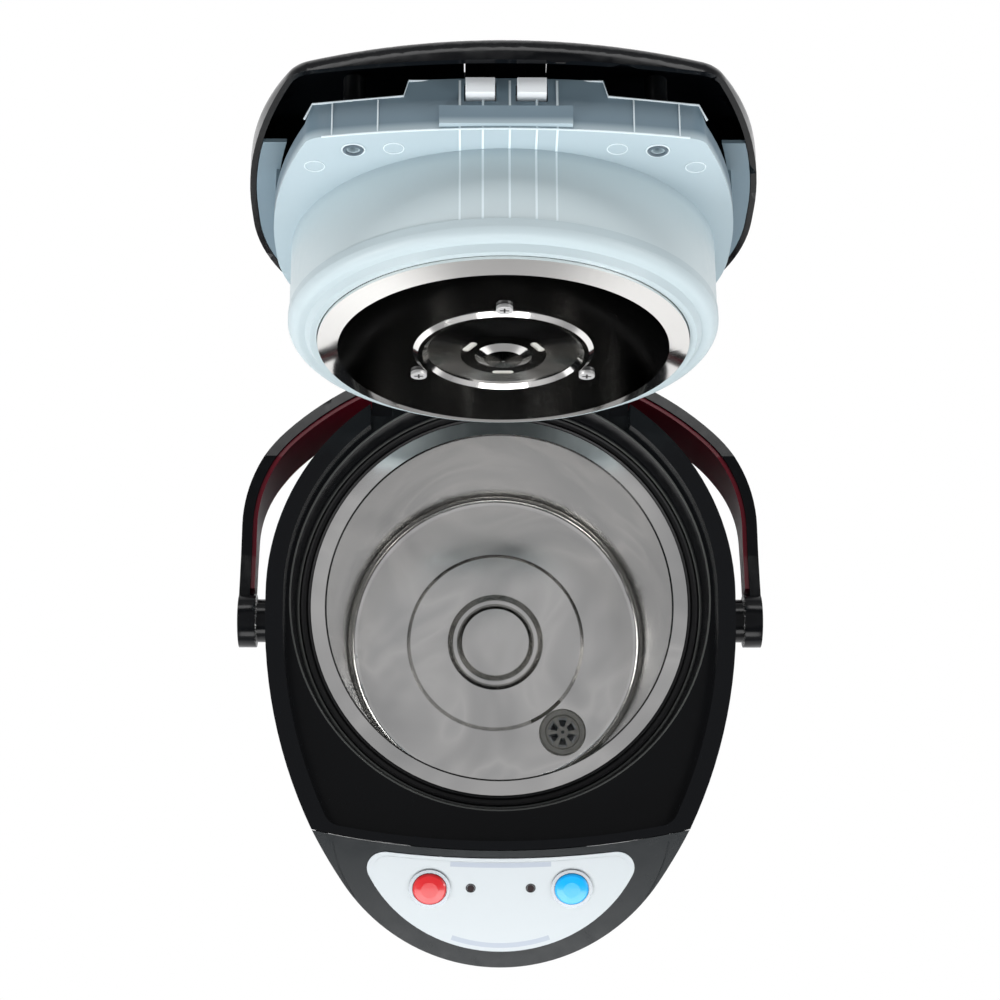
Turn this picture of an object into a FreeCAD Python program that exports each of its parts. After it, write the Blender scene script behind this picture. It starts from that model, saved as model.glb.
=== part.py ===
"""Electric thermo pot with its lid swung open, as a parametric FreeCAD document in millimetres.

The origin is the middle of the standing face, on the axis of the inner pot. The front is -Y, up is +Z.
Lid pieces are drawn closed and swung open about the hinge pin, and the handle is drawn level and let
down about its pivots. Control panel pieces are drawn flat and laid on the sloping nose.
"""

import FreeCAD, Part
import math
import os
import re
import Sketcher

Vector = FreeCAD.Vector

os.makedirs("parts", exist_ok=True)
doc = FreeCAD.newDocument("thermo_pot")
dims = doc.addObject("Spreadsheet::Sheet", "dims")
aliases = []
nodes = []


def size(alias, number, note):
    """One driving dimension, in a row of the sheet."""
    row = len(aliases) + 1
    dims.set(f"A{row}", alias)
    dims.set(f"B{row}", str(number))
    dims.set(f"C{row}", note)
    dims.setAlias(f"B{row}", alias)
    aliases.append(alias)


def bound(text):
    """An expression in alias names, as another object has to write it."""
    return re.sub(r"[a-z]\w*", lambda w: "dims." + w[0] if w[0] in aliases else w[0], str(text))


def number(text):
    """The value of an expression in alias names."""
    return float(dims.evalExpression(str(text)))


# Driving dimensions

size("flange_z", 262, "top of the inner pot's flange above the table")
size("body_w", 107, "half the width of the collar and the lid")
size("nose_l", 158.5, "from the front arcs' centre line to the tip of the nose")
size("nose_r", 85, "plan radius of the nose")
size("front_y", 10, "how far the front arcs' centre line lies in front of the pot's axis")
size("shell_w", 105.5, "half the width of the steel outer shell")
size("shell_l", 112, "from the front arcs' centre line to the shell's front")
size("shell_r", 90, "plan radius of the shell's front")
size("shell_t", 0.8, "thickness of the shell's sheet")
size("wall", 2.5, "wall of the black mouldings")
size("proud", 1.5, "how far collar and skirt stand out from the shell")
size("fit_gap", 0.3, "clearance between neighbouring pieces")
size("turn_gap", 0.05, "radial clearance of a pin that turns")

size("plate_t", 3, "thickness of the base plate")
size("foot_r", 9, "radius of a rubber foot")
size("foot_t", 1.6, "thickness of a rubber foot")
size("foot_x", 58, "feet left and right of the middle")
size("foot_y", 50, "feet behind and in front of the pot's axis")
size("skirt_h", 34, "top of the base skirt")
size("ledge", 12, "width of the skirt's inner ledge")
size("boss_x", 84, "base screws left and right of the middle")
size("boss_y", 50, "base screws behind and in front of the pot's axis")
size("screw_r", 1.6, "radius of a base screw's shank")

size("pot_r", 82.5, "inner radius of the pot")
size("pot_depth", 208, "depth of the pot")
size("pot_t", 0.8, "sheet of the pot")
size("flange_r", 90, "outer radius of the pot's flange")
size("groove_r", 52.6, "outer radius of the pressed ring in the pot's floor")
size("dome_r", 27.7, "outer radius of the pressed dome in the pot's floor")
size("press_h", 2.2, "height of the pressings in the pot's floor")
size("outlet_x", 37.4, "outlet in the pot's floor, right of the middle")
size("outlet_y", 50.3, "outlet in the pot's floor, in front of the axis")
size("filter_r", 13, "radius of the outlet's strainer")

size("rim_z", 62, "collar's rim above the flange, at the front")
size("rim_drop", 12, "how much lower the rim is at the back")
size("rim_w", 8, "width of the collar's rim")
size("deck_z", 34, "collar's deck above the flange")
size("skirt_z", 22, "how far the collar reaches below the flange")
size("mouth_r", 97.8, "radius of the collar's round mouth at the deck")
size("seat_r", 96, "radius of the collar's round mouth at the gasket")
size("lip_r", 88, "inner radius of the lip that carries the gasket")
size("arc_r", 390, "plan radius of the collar's front wall")
size("arc_y", 115.6, "front face of the collar's front wall, in front of the axis")
size("front_wall", 4, "thickness of the collar's front wall")
size("corner_r", 9, "radius of the recess's front corners")
size("notch_w", 60, "half the width of the hinge notch")

size("slope", 26, "slope of the control panel, in degrees")
size("slope_z", 56.5, "control panel above the flange, at the collar's front wall")
size("panel_rise", 4.5, "rise of the control panel towards its corners")
size("chin_z", 8, "underside of the nose below the flange, at the shell")
size("chin_rise", 15, "rise of the nose's underside to its tip")

size("hinge_y", 108.9, "hinge pin behind the axis")
size("hinge_z", 39.3, "hinge pin above the flange")
size("hinge_pin_r", 2, "radius of the hinge pin")
size("knuckle_r", 6, "radius of the hinge knuckles")
size("arm_w", 50, "half the width of the lid's hinge arm")
size("lid_open", 104.2, "how far the lid is swung open, in degrees")

size("pivot_y", 10, "handle pivots in front of the axis")
size("pivot_z", 30, "handle pivots above the flange")
size("pivot_r", 4, "radius of the handle pivots")
size("pivot_boss_r", 10, "radius of the collar's pivot bosses")
size("handle_w", 121, "half the width of the handle")
size("handle_side", 45, "straight length of the handle's sides")
size("handle_corner", 70, "radius of the handle's corners")
size("handle_back", 140, "radius of the handle's back")
size("handle_t", 7, "thickness of the handle")
size("liner_t", 2, "thickness of the handle's red liner")
size("grip_w", 14, "half the width of the handle's band")
size("handle_drop", 20, "how far the handle hangs below level, in degrees")

size("board_z", 9, "power board above the table")
size("board_w", 60, "width of the power board")
size("board_d", 44, "depth of the power board")
size("board_t", 1.6, "thickness of a circuit board")
size("board_y", 46, "middle of the power board behind the axis")

size("inlet_z", 40, "bottom of the power inlet above the table")
size("inlet_w", 30, "width of the power inlet's body")
size("inlet_h", 22, "height of the power inlet's body")
size("inlet_d", 18, "depth of the power inlet's body")
size("gauge_w", 16, "half the width of the level gauge's frame")
size("gauge_z0", 44, "bottom of the level gauge's frame")
size("gauge_z1", 226, "top of the level gauge's frame")
size("gauge_t", 2.6, "how far the gauge's frame stands out")
size("window_w", 5, "half the width of the level window")
size("window_z0", 62, "bottom of the level window")
size("window_z1", 204, "top of the level window")

size("floor_r", 6, "radius between the pot's wall and floor")
size("gasket_r", 95.7, "outer radius of the gasket")
size("gasket_t", 3.5, "height of the gasket below the flange")

size("drain_r", 7, "inner radius of the outlet")

size("pump_z", 30, "middle of the pump's housing above the table")
size("pump_r", 18, "radius of the pump's housing")
size("pump_h", 14, "height of the pump's housing")
size("motor_r", 12, "radius of the pump's motor")
size("tube_r", 4.5, "outer radius of the water tubes")
size("tube_t", 1.2, "wall of the water tubes")
size("riser_y", 104, "riser tube in front of the axis")

size("spout_y", 150, "spout in front of the axis")
size("spout_z", 10, "level run of the spout's pipe above the flange")
size("spout_r", 6, "outer radius of the spout's pipe")

size("heater_r", 74, "radius of the heating plate")
size("heater_t", 3, "thickness of the heating plate")

size("label_x", 62, "half the width of the label")
size("label_v0", 4, "top edge of the label below the slope's top edge, in the middle")
size("label_v1", 50.5, "bottom of the label below the slope's top edge")
size("label_r", 65, "radius of the label's lower edge")
size("label_t", 0.6, "thickness of the label")
size("button_x", 32, "buttons left and right of the middle")
size("button_v", 18.5, "buttons and lamps below the slope's top edge")
size("button_r", 7.6, "radius of a button's cap")
size("bezel_r", 9.4, "outer radius of a button's bezel")
size("button_travel", 1.5, "travel of a button")
size("lamp_x", 13.5, "lamps left and right of the middle")
size("lamp_r", 1.6, "radius of a lamp")
size("panel_depth", 14, "circuit board below the slope")

size("hub_r", 12.4, "radius of the handle's hubs")

size("inner_in", 10.5, "how far the lid's inner cover stays inside the body's outline")
size("inner_y", 105, "front wall of the lid's inner cover, in front of the axis")
size("inner_t", 1.6, "wall of the lid's inner cover")
size("drum_r", 90.1, "radius of the lid's drum")
size("drum_z", 5, "bottom of the drum above the flange")
size("crown_z", 89, "crown of the lid above the flange")
size("crown_r", 455, "radius of the lid's dome")
size("cover_t", 2.5, "wall of the lid's cover")
size("cover_y", 117.5, "front of the lid's cover, in front of the axis")
size("cover_edge_r", 9, "rounding of the cover's top edge")
size("cover_corner_r", 14, "rounding of the cover's front corners")
size("part_gap", 0.6, "gap between the collar's rim and the lid")
size("plate_r", 78.2, "radius of the lid's steel plate")
size("flat_r", 69.7, "radius of the steel plate's flat")
size("ring_r", 37, "radius of the steel plate's raised ring")
size("screw_ring", 41.5, "screws of the steel plate from its middle")
size("hook_x0", 4.3, "inner edge of a latch hook")
size("hook_x1", 15.8, "outer edge of a latch hook")
size("hook_z0", 52.2, "bottom of the latch hooks above the flange")
size("hook_z1", 59.2, "top of the latch hooks above the flange")
size("hook_y", 110.6, "tips of the latch hooks in front of the axis")

size("vent_y", 60, "steam vent behind the axis")
size("vent_r", 13, "radius of the steam vent's cap")
size("key_y0", 80, "rear end of the release key in front of the axis")
size("key_y1", 100, "front end of the release key in front of the axis")
size("latch_travel", 2, "travel of the latch each way")

doc.recompute()


# Outlines, as lists of points with expressions for coordinates

def outline(w, length, nose, inset="0"):
    """Plan of the body: a half circle behind, two side arcs and a nose arc in front."""
    side = f"((({w})^2 + ({length})^2 - 2*({length})*({nose})) / (2*(({w}) - ({nose}))) - ({inset}))"
    w, length, nose = (f"({v} - ({inset}))" for v in (w, length, nose))
    turn_x = f"({w} - {side} + {side}*({side} - {w})/({side} - {nose}))"
    turn_y = f"(-front_y - {side}*({length} - {nose})/({side} - {nose}))"
    return [
        ("0", w, w),
        (f"-{w}", "0", w),
        (f"-{w}", "-front_y"),
        (f"-{turn_x}", turn_y, side),
        (turn_x, turn_y, nose),
        (w, "-front_y", side),
        (w, "0"),
    ]


def body_outline(inset="0"):
    return outline("body_w", "nose_l", "nose_r", inset)


def shell_outline(inset="0"):
    return outline("shell_w", "shell_l", "shell_r", inset)


def front_arc(forward="0", half="body_w + 20", behind=True):
    """Plan of the space behind, or in front of, the arc of the collar's front wall."""
    radius = f"(arc_r + {forward})"
    edge = f"(arc_r - arc_y - sqrt({radius}^2 - ({half})^2))"
    if behind:
        return [(f"{half}", edge, radius), (f"{half}", "body_w + 40"), (f"-({half})", "body_w + 40"),
                (f"-({half})", edge)]
    return [(f"-({half})", edge, radius, "right"), (f"-({half})", "-nose_l - 40"),
            (f"{half}", "-nose_l - 40"), (f"{half}", edge)]


def rectangle(x0, y0, x1, y1):
    return [(x0, y0), (x1, y0), (x1, y1), (x0, y1)]


def rounded(x0, y0, x1, y1, r):
    """A rectangle with rounded corners."""
    return [
        (f"({x1}) - ({r})", y0), (x1, f"({y0}) + ({r})", r),
        (x1, f"({y1}) - ({r})"), (f"({x1}) - ({r})", y1, r),
        (f"({x0}) + ({r})", y1), (x0, f"({y1}) - ({r})", r),
        (x0, f"({y0}) + ({r})"), (f"({x0}) + ({r})", y0, r),
    ]


def circle(x, y, r):
    return {"x": x, "y": y, "r": r}


# Sketches

def hold(sk, kind, geometry, point, expression):
    """One driving constraint from the sketch's origin, bound to the sheet."""
    constraint = Sketcher.Constraint(kind, -1, 1, geometry, point, number(expression))
    index = sk.addConstraint(constraint)
    sk.setExpression(f"Constraints[{index}]", bound(expression))


def hold_radius(sk, geometry, expression):
    index = sk.addConstraint(Sketcher.Constraint("Radius", geometry, number(expression)))
    sk.setExpression(f"Constraints[{index}]", bound(expression))


def draw_circle(sk, shape):
    centre = Vector(number(shape["x"]), number(shape["y"]), 0)
    geometry = sk.addGeometry(Part.Circle(centre, Vector(0, 0, 1), number(shape["r"])))
    hold(sk, "DistanceX", geometry, 3, shape["x"])
    hold(sk, "DistanceY", geometry, 3, shape["y"])
    hold_radius(sk, geometry, shape["r"])


def arc_between(start, end, radius, side):
    """The short arc from start to end, and which of its ends is the start."""
    chord = end - start
    reach = math.sqrt(max(radius**2 - chord.Length**2 / 4, 0))
    left = Vector(-chord.y, chord.x, 0).normalize() * reach
    centre = (start + end) * 0.5 + (left if side == "left" else -left)
    first, last = (start, end) if side == "left" else (end, start)
    a0 = math.atan2(first.y - centre.y, first.x - centre.x)
    a1 = math.atan2(last.y - centre.y, last.x - centre.x)
    if a1 < a0:
        a1 += 2 * math.pi
    return Part.ArcOfCircle(Part.Circle(centre, Vector(0, 0, 1), radius), a0, a1)


def draw_path(sk, points):
    """A closed path. A point with a radius is reached by an arc whose centre is left (or right)."""
    spots = [Vector(number(p[0]), number(p[1]), 0) for p in points]
    edges = []
    for i, point in enumerate(points):
        start, end = spots[i - 1], spots[i]
        if len(point) > 2:
            side = point[3] if len(point) > 3 else "left"
            geometry = sk.addGeometry(arc_between(start, end, number(point[2]), side))
            edges.append((geometry, 1, 2) if side == "left" else (geometry, 2, 1))
            hold_radius(sk, geometry, point[2])
        else:
            geometry = sk.addGeometry(Part.LineSegment(start, end))
            edges.append((geometry, 1, 2))
    for i, point in enumerate(points):
        geometry, _, finish = edges[i]
        following, begin, _ = edges[(i + 1) % len(edges)]
        sk.addConstraint(Sketcher.Constraint("Coincident", geometry, finish, following, begin))
        hold(sk, "DistanceX", geometry, finish, point[0])
        hold(sk, "DistanceY", geometry, finish, point[1])


def draw(sk, shapes):
    for shape in shapes:
        if isinstance(shape, dict):
            draw_circle(sk, shape)
        else:
            draw_path(sk, shape)


TURNS = {
    "XY": FreeCAD.Rotation(),
    "XZ": FreeCAD.Rotation(Vector(1, 0, 0), 90),
    "YZ": FreeCAD.Rotation(Vector(0, 0, 1), 90) * FreeCAD.Rotation(Vector(1, 0, 0), 90),
}
NORMALS = {"XY": Vector(0, 0, 1), "XZ": Vector(0, -1, 0), "YZ": Vector(1, 0, 0)}
MOVES = {"XY": ("z", ""), "XZ": ("y", "-"), "YZ": ("x", "")}


# PartDesign features

def new_body(label):
    body = doc.addObject("PartDesign::Body", label)
    body.Label = label
    nodes.append(body)
    return body


def body_sketch(body, name, plane, offset, shapes):
    sk = body.newObject("Sketcher::SketchObject", name)
    role = f"{plane}_Plane"
    sk.AttachmentSupport = [(next(f for f in body.Origin.OriginFeatures if f.Role == role), "")]
    sk.MapMode = "FlatFace"
    sk.setExpression("AttachmentOffset.Base.z", bound(offset))
    draw(sk, shapes)
    return sk


def pad(body, name, plane, offset, shapes, length, middle=False, back=False):
    """Grows the body along the plane's normal, both ways, or against the normal."""
    feature = body.newObject("PartDesign::Pad", name)
    feature.Profile = body_sketch(body, name + "_sketch", plane, offset, shapes)
    feature.setExpression("Length", bound(length))
    feature.Midplane = middle
    feature.Reversed = back
    doc.recompute()
    return feature


def pocket(body, name, plane, offset, shapes, length, middle=False, back=False):
    """Cuts the body against the plane's normal, both ways, or along the normal."""
    before = body.Shape.Volume
    feature = body.newObject("PartDesign::Pocket", name)
    feature.Profile = body_sketch(body, name + "_sketch", plane, offset, shapes)
    feature.setExpression("Length", bound(length))
    feature.Midplane = middle
    feature.Reversed = back
    doc.recompute()
    if not body.Shape.Volume < before:
        raise ValueError(f"{name} cuts nothing")
    return feature


def turned(body, name, shapes, groove=False):
    """Turns an (r, z) profile about the body's Z axis, to add or to cut."""
    kind = "PartDesign::Groove" if groove else "PartDesign::Revolution"
    feature = body.newObject(kind, name)
    sk = body_sketch(body, name + "_sketch", "XZ", "0", shapes)
    feature.Profile = sk
    feature.ReferenceAxis = (sk, ["V_Axis"])
    feature.Angle = 360
    doc.recompute()
    return feature


def around(body, feature, count, name):
    """Repeats a feature evenly about the body's Z axis."""
    pattern = body.newObject("PartDesign::PolarPattern", name)
    pattern.Originals = [feature]
    axis = next(f for f in body.Origin.OriginFeatures if f.Role == "Z_Axis")
    pattern.Axis = (axis, [""])
    pattern.Angle = 360
    pattern.Occurrences = count
    body.Tip = pattern
    doc.recompute()
    return pattern


def mirrored(body, features, name, plane="YZ"):
    """Repeats features on the other side of one of the body's planes."""
    mirror = body.newObject("PartDesign::Mirrored", name)
    mirror.Originals = features
    role = f"{plane}_Plane"
    mirror.MirrorPlane = (next(f for f in body.Origin.OriginFeatures if f.Role == role), [""])
    body.Tip = mirror
    doc.recompute()
    return mirror


# Part features, for pieces that are boolean combinations of prisms

def prism(name, plane, base, shapes, length, middle=False):
    """A sketch moved out to base along the plane's normal, and extruded along it or both ways."""
    sk = doc.addObject("Sketcher::SketchObject", name + "_sketch")
    sk.Placement = FreeCAD.Placement(Vector(), TURNS[plane])
    letter, sign = MOVES[plane]
    sk.setExpression(f"Placement.Base.{letter}", f"{sign}({bound(base)})")
    draw(sk, shapes)
    solid = doc.addObject("Part::Extrusion", name)
    solid.Base = sk
    solid.DirMode = "Custom"
    solid.Dir = NORMALS[plane]
    solid.setExpression("LengthFwd", bound(length))
    solid.Symmetric = middle
    solid.Solid = True
    solid.FaceMakerClass = "Part::FaceMakerBullseye"
    sk.recompute()
    solid.recompute()
    return solid


def lathe(name, shapes):
    """An (r, z) profile turned about the Z axis."""
    sk = doc.addObject("Sketcher::SketchObject", name + "_sketch")
    sk.Placement = FreeCAD.Placement(Vector(), TURNS["XZ"])
    draw(sk, shapes)
    solid = doc.addObject("Part::Revolution", name)
    solid.Source = sk
    solid.Axis = Vector(0, 0, 1)
    solid.Angle = 360
    solid.Solid = True
    sk.recompute()
    solid.recompute()
    return solid


def rod(name, plane, x, y, base, radius, length):
    """A cylinder whose axis is the plane's normal."""
    return prism(name, plane, base, [circle(x, y, radius)], length)


def cut(name, base, *tools):
    tool = fuse(name + "_tools", *tools) if len(tools) > 1 else tools[0]
    result = doc.addObject("Part::Cut", name)
    result.Base = base
    result.Tool = tool
    result.recompute()
    return result


def fuse(name, *pieces):
    result = doc.addObject("Part::MultiFuse", name)
    result.Shapes = list(pieces)
    result.Refine = True
    result.recompute()
    return result


def common(name, *pieces):
    result = doc.addObject("Part::MultiCommon", name)
    result.Shapes = list(pieces)
    result.recompute()
    return result


def rounded_edges(name, base, radius, pick):
    """Rounds the edges that pick accepts."""
    result = doc.addObject("Part::Fillet", name)
    result.Base = base
    r = number(radius)
    result.Edges = [(i + 1, r, r) for i, edge in enumerate(base.Shape.Edges) if pick(edge)]
    result.recompute()
    return result


def node(label, solid):
    """Marks a finished Part feature as a sub-part."""
    solid.Label = label
    nodes.append(solid)
    return solid


# Places of the moving pieces and of the sloping panel

def swing_about(piece, angle, y, z, shift="0"):
    """Moves a piece back by shift, then turns it by degrees about a line along X through (y, z)."""
    turn = f"(({bound(angle)}) * 1 deg)"
    y, z = bound(y), bound(z)
    piece.Placement = FreeCAD.Placement(Vector(), FreeCAD.Rotation(Vector(1, 0, 0), number(angle)))
    piece.setExpression("Placement.Rotation.Angle", turn)
    reach = f"({y} - ({bound(shift)}))"
    piece.setExpression("Placement.Base.y", f"({y}) - {reach}*cos({turn}) + ({z})*sin({turn})")
    piece.setExpression("Placement.Base.z", f"({z}) - {reach}*sin({turn}) - ({z})*cos({turn})")
    piece.recompute()


def swing_open(piece, shift="0"):
    """Swings a lid piece from its closed place to where the lid stands open."""
    swing_about(piece, "-lid_open", "hinge_y", "flange_z + hinge_z", shift)


def let_down(piece):
    """Lets the handle down from level to where it hangs."""
    swing_about(piece, "-handle_drop", "-pivot_y", "flange_z + pivot_z")


def lay_on_slope(piece):
    """Lays a flat piece on the nose: its origin goes to the middle of the slope's top edge."""
    piece.Placement = FreeCAD.Placement(Vector(), FreeCAD.Rotation(Vector(1, 0, 0), number("slope")))
    piece.setExpression("Placement.Rotation.Angle", bound("slope") + " * 1 deg")
    piece.setExpression("Placement.Base.y", bound("-arc_y"))
    piece.setExpression("Placement.Base.z", bound("flange_z + slope_z"))
    piece.recompute()


# Base and outer shell

def rubber_foot_places():
    return [(f"{sx}foot_x", f"{sy}foot_y") for sx in ("-", "") for sy in ("-", "")]


def screw_places():
    return [("-(boss_x - ledge)", "boss_y + ledge"), ("boss_x - ledge", "boss_y + ledge"),
            ("-boss_x", "-boss_y"), ("boss_x", "-boss_y")]


base_plate = new_body("base_plate")
pad(base_plate, "plate", "XY", "0", [shell_outline("wall - proud + fit_gap")], "plate_t")
pocket(base_plate, "foot_seats", "XY", "0",
       [circle(x, y, "foot_r + fit_gap") for x, y in rubber_foot_places()], "foot_t", back=True)
pocket(base_plate, "screw_holes", "XY", "plate_t",
       [circle(x, y, "screw_r + fit_gap") for x, y in screw_places()], "plate_t")
pocket(base_plate, "screw_heads", "XY", "0",
       [circle(x, y, "2*screw_r + fit_gap") for x, y in screw_places()], "plate_t/2", back=True)
pad(base_plate, "board_posts", "XY", "plate_t",
    [circle(f"{sx}(board_w/2 - 5)", f"board_y {sy} (board_d/2 - 5)", "3")
     for sx in ("-", "") for sy in ("-", "+")], "board_z - plate_t")

node("rubber_feet", fuse("feet", *[rod(f"foot_{i}", "XY", x, y, "0", "foot_r", "foot_t")
                                   for i, (x, y) in enumerate(rubber_foot_places())]))

base_skirt = new_body("base_skirt")
pad(base_skirt, "wall_ring", "XY", "1", [shell_outline("-proud")], "skirt_h - 1")
pocket(base_skirt, "plate_room", "XY", "1", [shell_outline("wall - proud")], "plate_t - 1", back=True)
pocket(base_skirt, "inside", "XY", "plate_t", [shell_outline("wall - proud + ledge")],
       "skirt_h - plate_t", back=True)
pocket(base_skirt, "shell_room", "XY", "plate_t + wall", [shell_outline("-fit_gap")],
       "skirt_h - plate_t - wall", back=True)
pad(base_skirt, "bosses", "XY", "plate_t + wall", [circle(x, y, "3*screw_r") for x, y in screw_places()], "10")
pocket(base_skirt, "screw_bores", "XY", "plate_t", [circle(x, y, "screw_r") for x, y in screw_places()],
       "wall + 8", back=True)

base_screws = fuse("base_screw_group", *[
    fuse(f"base_screw_{i}", rod(f"base_screw_shank_{i}", "XY", x, y, "0.4", "screw_r", "plate_t + wall + 6"),
         rod(f"base_screw_head_{i}", "XY", x, y, "0.2", "2*screw_r", "plate_t/2 - 0.2"))
    for i, (x, y) in enumerate(screw_places())])
node("base_screws", base_screws)


outer_shell = new_body("outer_shell")
pad(outer_shell, "sheet", "XY", "plate_t + wall", [shell_outline(), shell_outline("shell_t")],
    "flange_z - skirt_z/2 - plate_t - wall")
pocket(outer_shell, "gauge_slot", "XZ", "front_y + shell_l/2",
       [rounded("-window_w", "window_z0", "window_w", "window_z1", "3")], "shell_l", back=True)
pocket(outer_shell, "inlet_cut", "XZ", "0",
       [rectangle("-inlet_w/2 - fit_gap", "inlet_z - fit_gap", "inlet_w/2 + fit_gap",
                  "inlet_z + inlet_h + fit_gap")], "shell_w + 20")

# Level gauge on the front of the shell

def front_strip(name, half, z0, z1, inner, outer):
    """A strip that follows the shell's front, between two distances out from it."""
    centre = "front_y + shell_l - shell_r"
    near, far = f"(shell_r + {inner})", f"(shell_r + {outer})"
    near_y = f"-({centre}) - sqrt({near}^2 - ({half})^2)"
    far_y = f"-({centre}) - sqrt({far}^2 - ({half})^2)"
    path = [(f"-({half})", near_y), (f"-({half})", far_y), (half, far_y, far), (half, near_y),
            (f"-({half})", near_y, near, "right")]
    return prism(name, "XY", z0, [path[1:]], f"{z1} - ({z0})")


gauge_frame = cut("gauge_frame_cut", front_strip("gauge_strip", "gauge_w", "gauge_z0", "gauge_z1", "0", "gauge_t"),
                  prism("gauge_window_hole", "XZ", "front_y + shell_l/2",
                        [rounded("-window_w", "window_z0", "window_w", "window_z1", "3")], "shell_l"))
node("gauge_frame", gauge_frame)
node("level_window", front_strip("window_strip", "window_w - fit_gap", "window_z0 + 3", "window_z1 - 3",
                                 "0.2", "gauge_t - 0.4"))


# Inner pot with its gasket, strainer and outlet


inner_pot = new_body("inner_pot")
floor = "(flange_z - pot_depth)"
turned(inner_pot, "sheet", [[
    ("0", f"{floor} - pot_t + press_h*1.4"), ("dome_r - 10", f"{floor} - pot_t + press_h"),
    ("dome_r - 7", f"{floor} - pot_t"), ("dome_r - 3", f"{floor} - pot_t"),
    ("dome_r", f"{floor} - pot_t + press_h"), ("groove_r - 6", f"{floor} - pot_t + press_h"),
    ("groove_r - 4", f"{floor} - pot_t"), ("pot_r + pot_t - floor_r", f"{floor} - pot_t"),
    ("pot_r + pot_t", f"{floor} - pot_t + floor_r", "floor_r"), ("pot_r + pot_t", "flange_z - pot_t"),
    ("flange_r", "flange_z - pot_t"), ("flange_r", "flange_z"), ("pot_r + 0.8", "flange_z"),
    ("pot_r", "flange_z - 0.8"), ("pot_r", f"{floor} + floor_r - pot_t"),
    ("pot_r - floor_r + pot_t", f"{floor}", "floor_r - pot_t", "right"), ("groove_r - 3", floor),
    ("groove_r - 5", f"{floor} + press_h"), ("dome_r - 1", f"{floor} + press_h"),
    ("dome_r - 4", floor), ("dome_r - 6", floor), ("dome_r - 9", f"{floor} + press_h"),
    ("0", f"{floor} + press_h*1.4"),
]])
pocket(inner_pot, "drain", "XY", "flange_z - 100", [circle("outlet_x", "-outlet_y", "drain_r + 1.5")], "pot_depth")

pot_gasket = new_body("pot_gasket")
turned(pot_gasket, "ring", [[
    ("pot_r + pot_t + 1", "flange_z - pot_t - gasket_t"), ("gasket_r", "flange_z - pot_t - gasket_t"),
    ("gasket_r", "flange_z - 0.6"), ("gasket_r - 1.2", "flange_z + 0.4"), ("gasket_r - 2", "flange_z - 0.6"),
    ("flange_r + 2.2", "flange_z - 0.6"), ("flange_r + 1.2", "flange_z + 0.4"),
    ("flange_r + 0.2", "flange_z - 0.4"), ("flange_r + 0.2", "flange_z - pot_t"),
    ("pot_r + pot_t + 1", "flange_z - pot_t"),
]])

drain_filter = new_body("drain_filter")
turned(drain_filter, "cap", [[
    ("0", f"{floor} + 3.2"), ("filter_r - 4", f"{floor} + 3.2"), ("filter_r - 3.2", f"{floor} + 4.4"),
    ("filter_r - 1", f"{floor} + 4.4"), ("filter_r", f"{floor} + 3.4"), ("filter_r", f"{floor}"),
    ("filter_r - 1.2", f"{floor}"), ("filter_r - 1.2", f"{floor} + 2.4"), ("0", f"{floor} + 2.4"),
]])
hole = pocket(drain_filter, "hole", "XY", f"{floor} + 4", [[
    ("-1.1", "3.2"), ("1.1", "3.2"), ("2.6", "8"), ("-2.6", "8")]], "4")
around(drain_filter, hole, 6, "holes")
pocket(drain_filter, "middle_hole", "XY", f"{floor} + 4", [circle("0", "0", "1")], "4")
drain_filter.setExpression("Placement.Base.x", bound("outlet_x"))
drain_filter.setExpression("Placement.Base.y", bound("-outlet_y"))


outlet_fitting = cut("outlet_fitting_cut", lathe("outlet_tube", [[
    ("0", "pump_z + pump_h/2"), ("drain_r + 1.2", "pump_z + pump_h/2"), ("drain_r + 1.2", f"{floor} - pot_t - 3"),
    ("filter_r", f"{floor} - pot_t - 3"), ("filter_r", f"{floor} - pot_t"), ("drain_r + 1.2", f"{floor} - pot_t"),
    ("drain_r + 1.2", f"{floor} + 2"), ("0", f"{floor} + 2")]]),
    rod("outlet_bore", "XY", "0", "0", "pump_z", "drain_r", "flange_z"))
node("outlet_fitting", outlet_fitting)

pump_housing = cut("pump_housing_cut",
                   fuse("pump_body", rod("pump_can", "XY", "0", "0", "pump_z - pump_h/2", "pump_r", "pump_h"),
                        rod("pump_spigot", "XZ", "-pump_r/2", "pump_z", "pump_r/2", "tube_r", "pump_r")),
                   rod("pump_room", "XY", "0", "0", "pump_z - pump_h/2 + 3", "pump_r - 2", "pump_h - 5"),
                   rod("pump_eye", "XY", "0", "0", "pump_z", "drain_r", "pump_h"),
                   rod("pump_shaft_hole", "XY", "0", "0", "pump_z - pump_h", "2.5", "pump_h"),
                   rod("pump_outlet_bore", "XZ", "-pump_r/2", "pump_z", "pump_r/2", "tube_r - tube_t", "pump_r"))
node("pump_housing", pump_housing)
node("pump_motor", cut("pump_motor_cut",
                       rod("motor_can", "XY", "0", "0", "plate_t + 0.3", "motor_r", "pump_z - pump_h/2 - plate_t - 0.3"),
                       rod("motor_bore", "XY", "0", "0", "pump_z - pump_h/2 - 8", "2.5", "9")))
vane = [(f"2", "-0.8"), ("pump_r - 4", "-0.8"), ("pump_r - 4", "0.8"), ("2", "0.8")]
pump_rotor = new_body("pump_rotor")
pad(pump_rotor, "disc", "XY", "pump_z - pump_h/2 + 4", [circle("0", "0", "pump_r - 4")], "1.5")
pad(pump_rotor, "shaft", "XY", "pump_z - pump_h/2 - 7", [circle("0", "0", "2.4")], "14")
blade = pad(pump_rotor, "vane", "XY", "pump_z - pump_h/2 + 5", [vane], "3.5")
around(pump_rotor, blade, 6, "vanes")
for piece in (outlet_fitting, pump_housing, doc.getObject("pump_motor_cut"), pump_rotor):
    piece.setExpression("Placement.Base.x", bound("outlet_x"))
    piece.setExpression("Placement.Base.y", bound("-outlet_y"))


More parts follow.
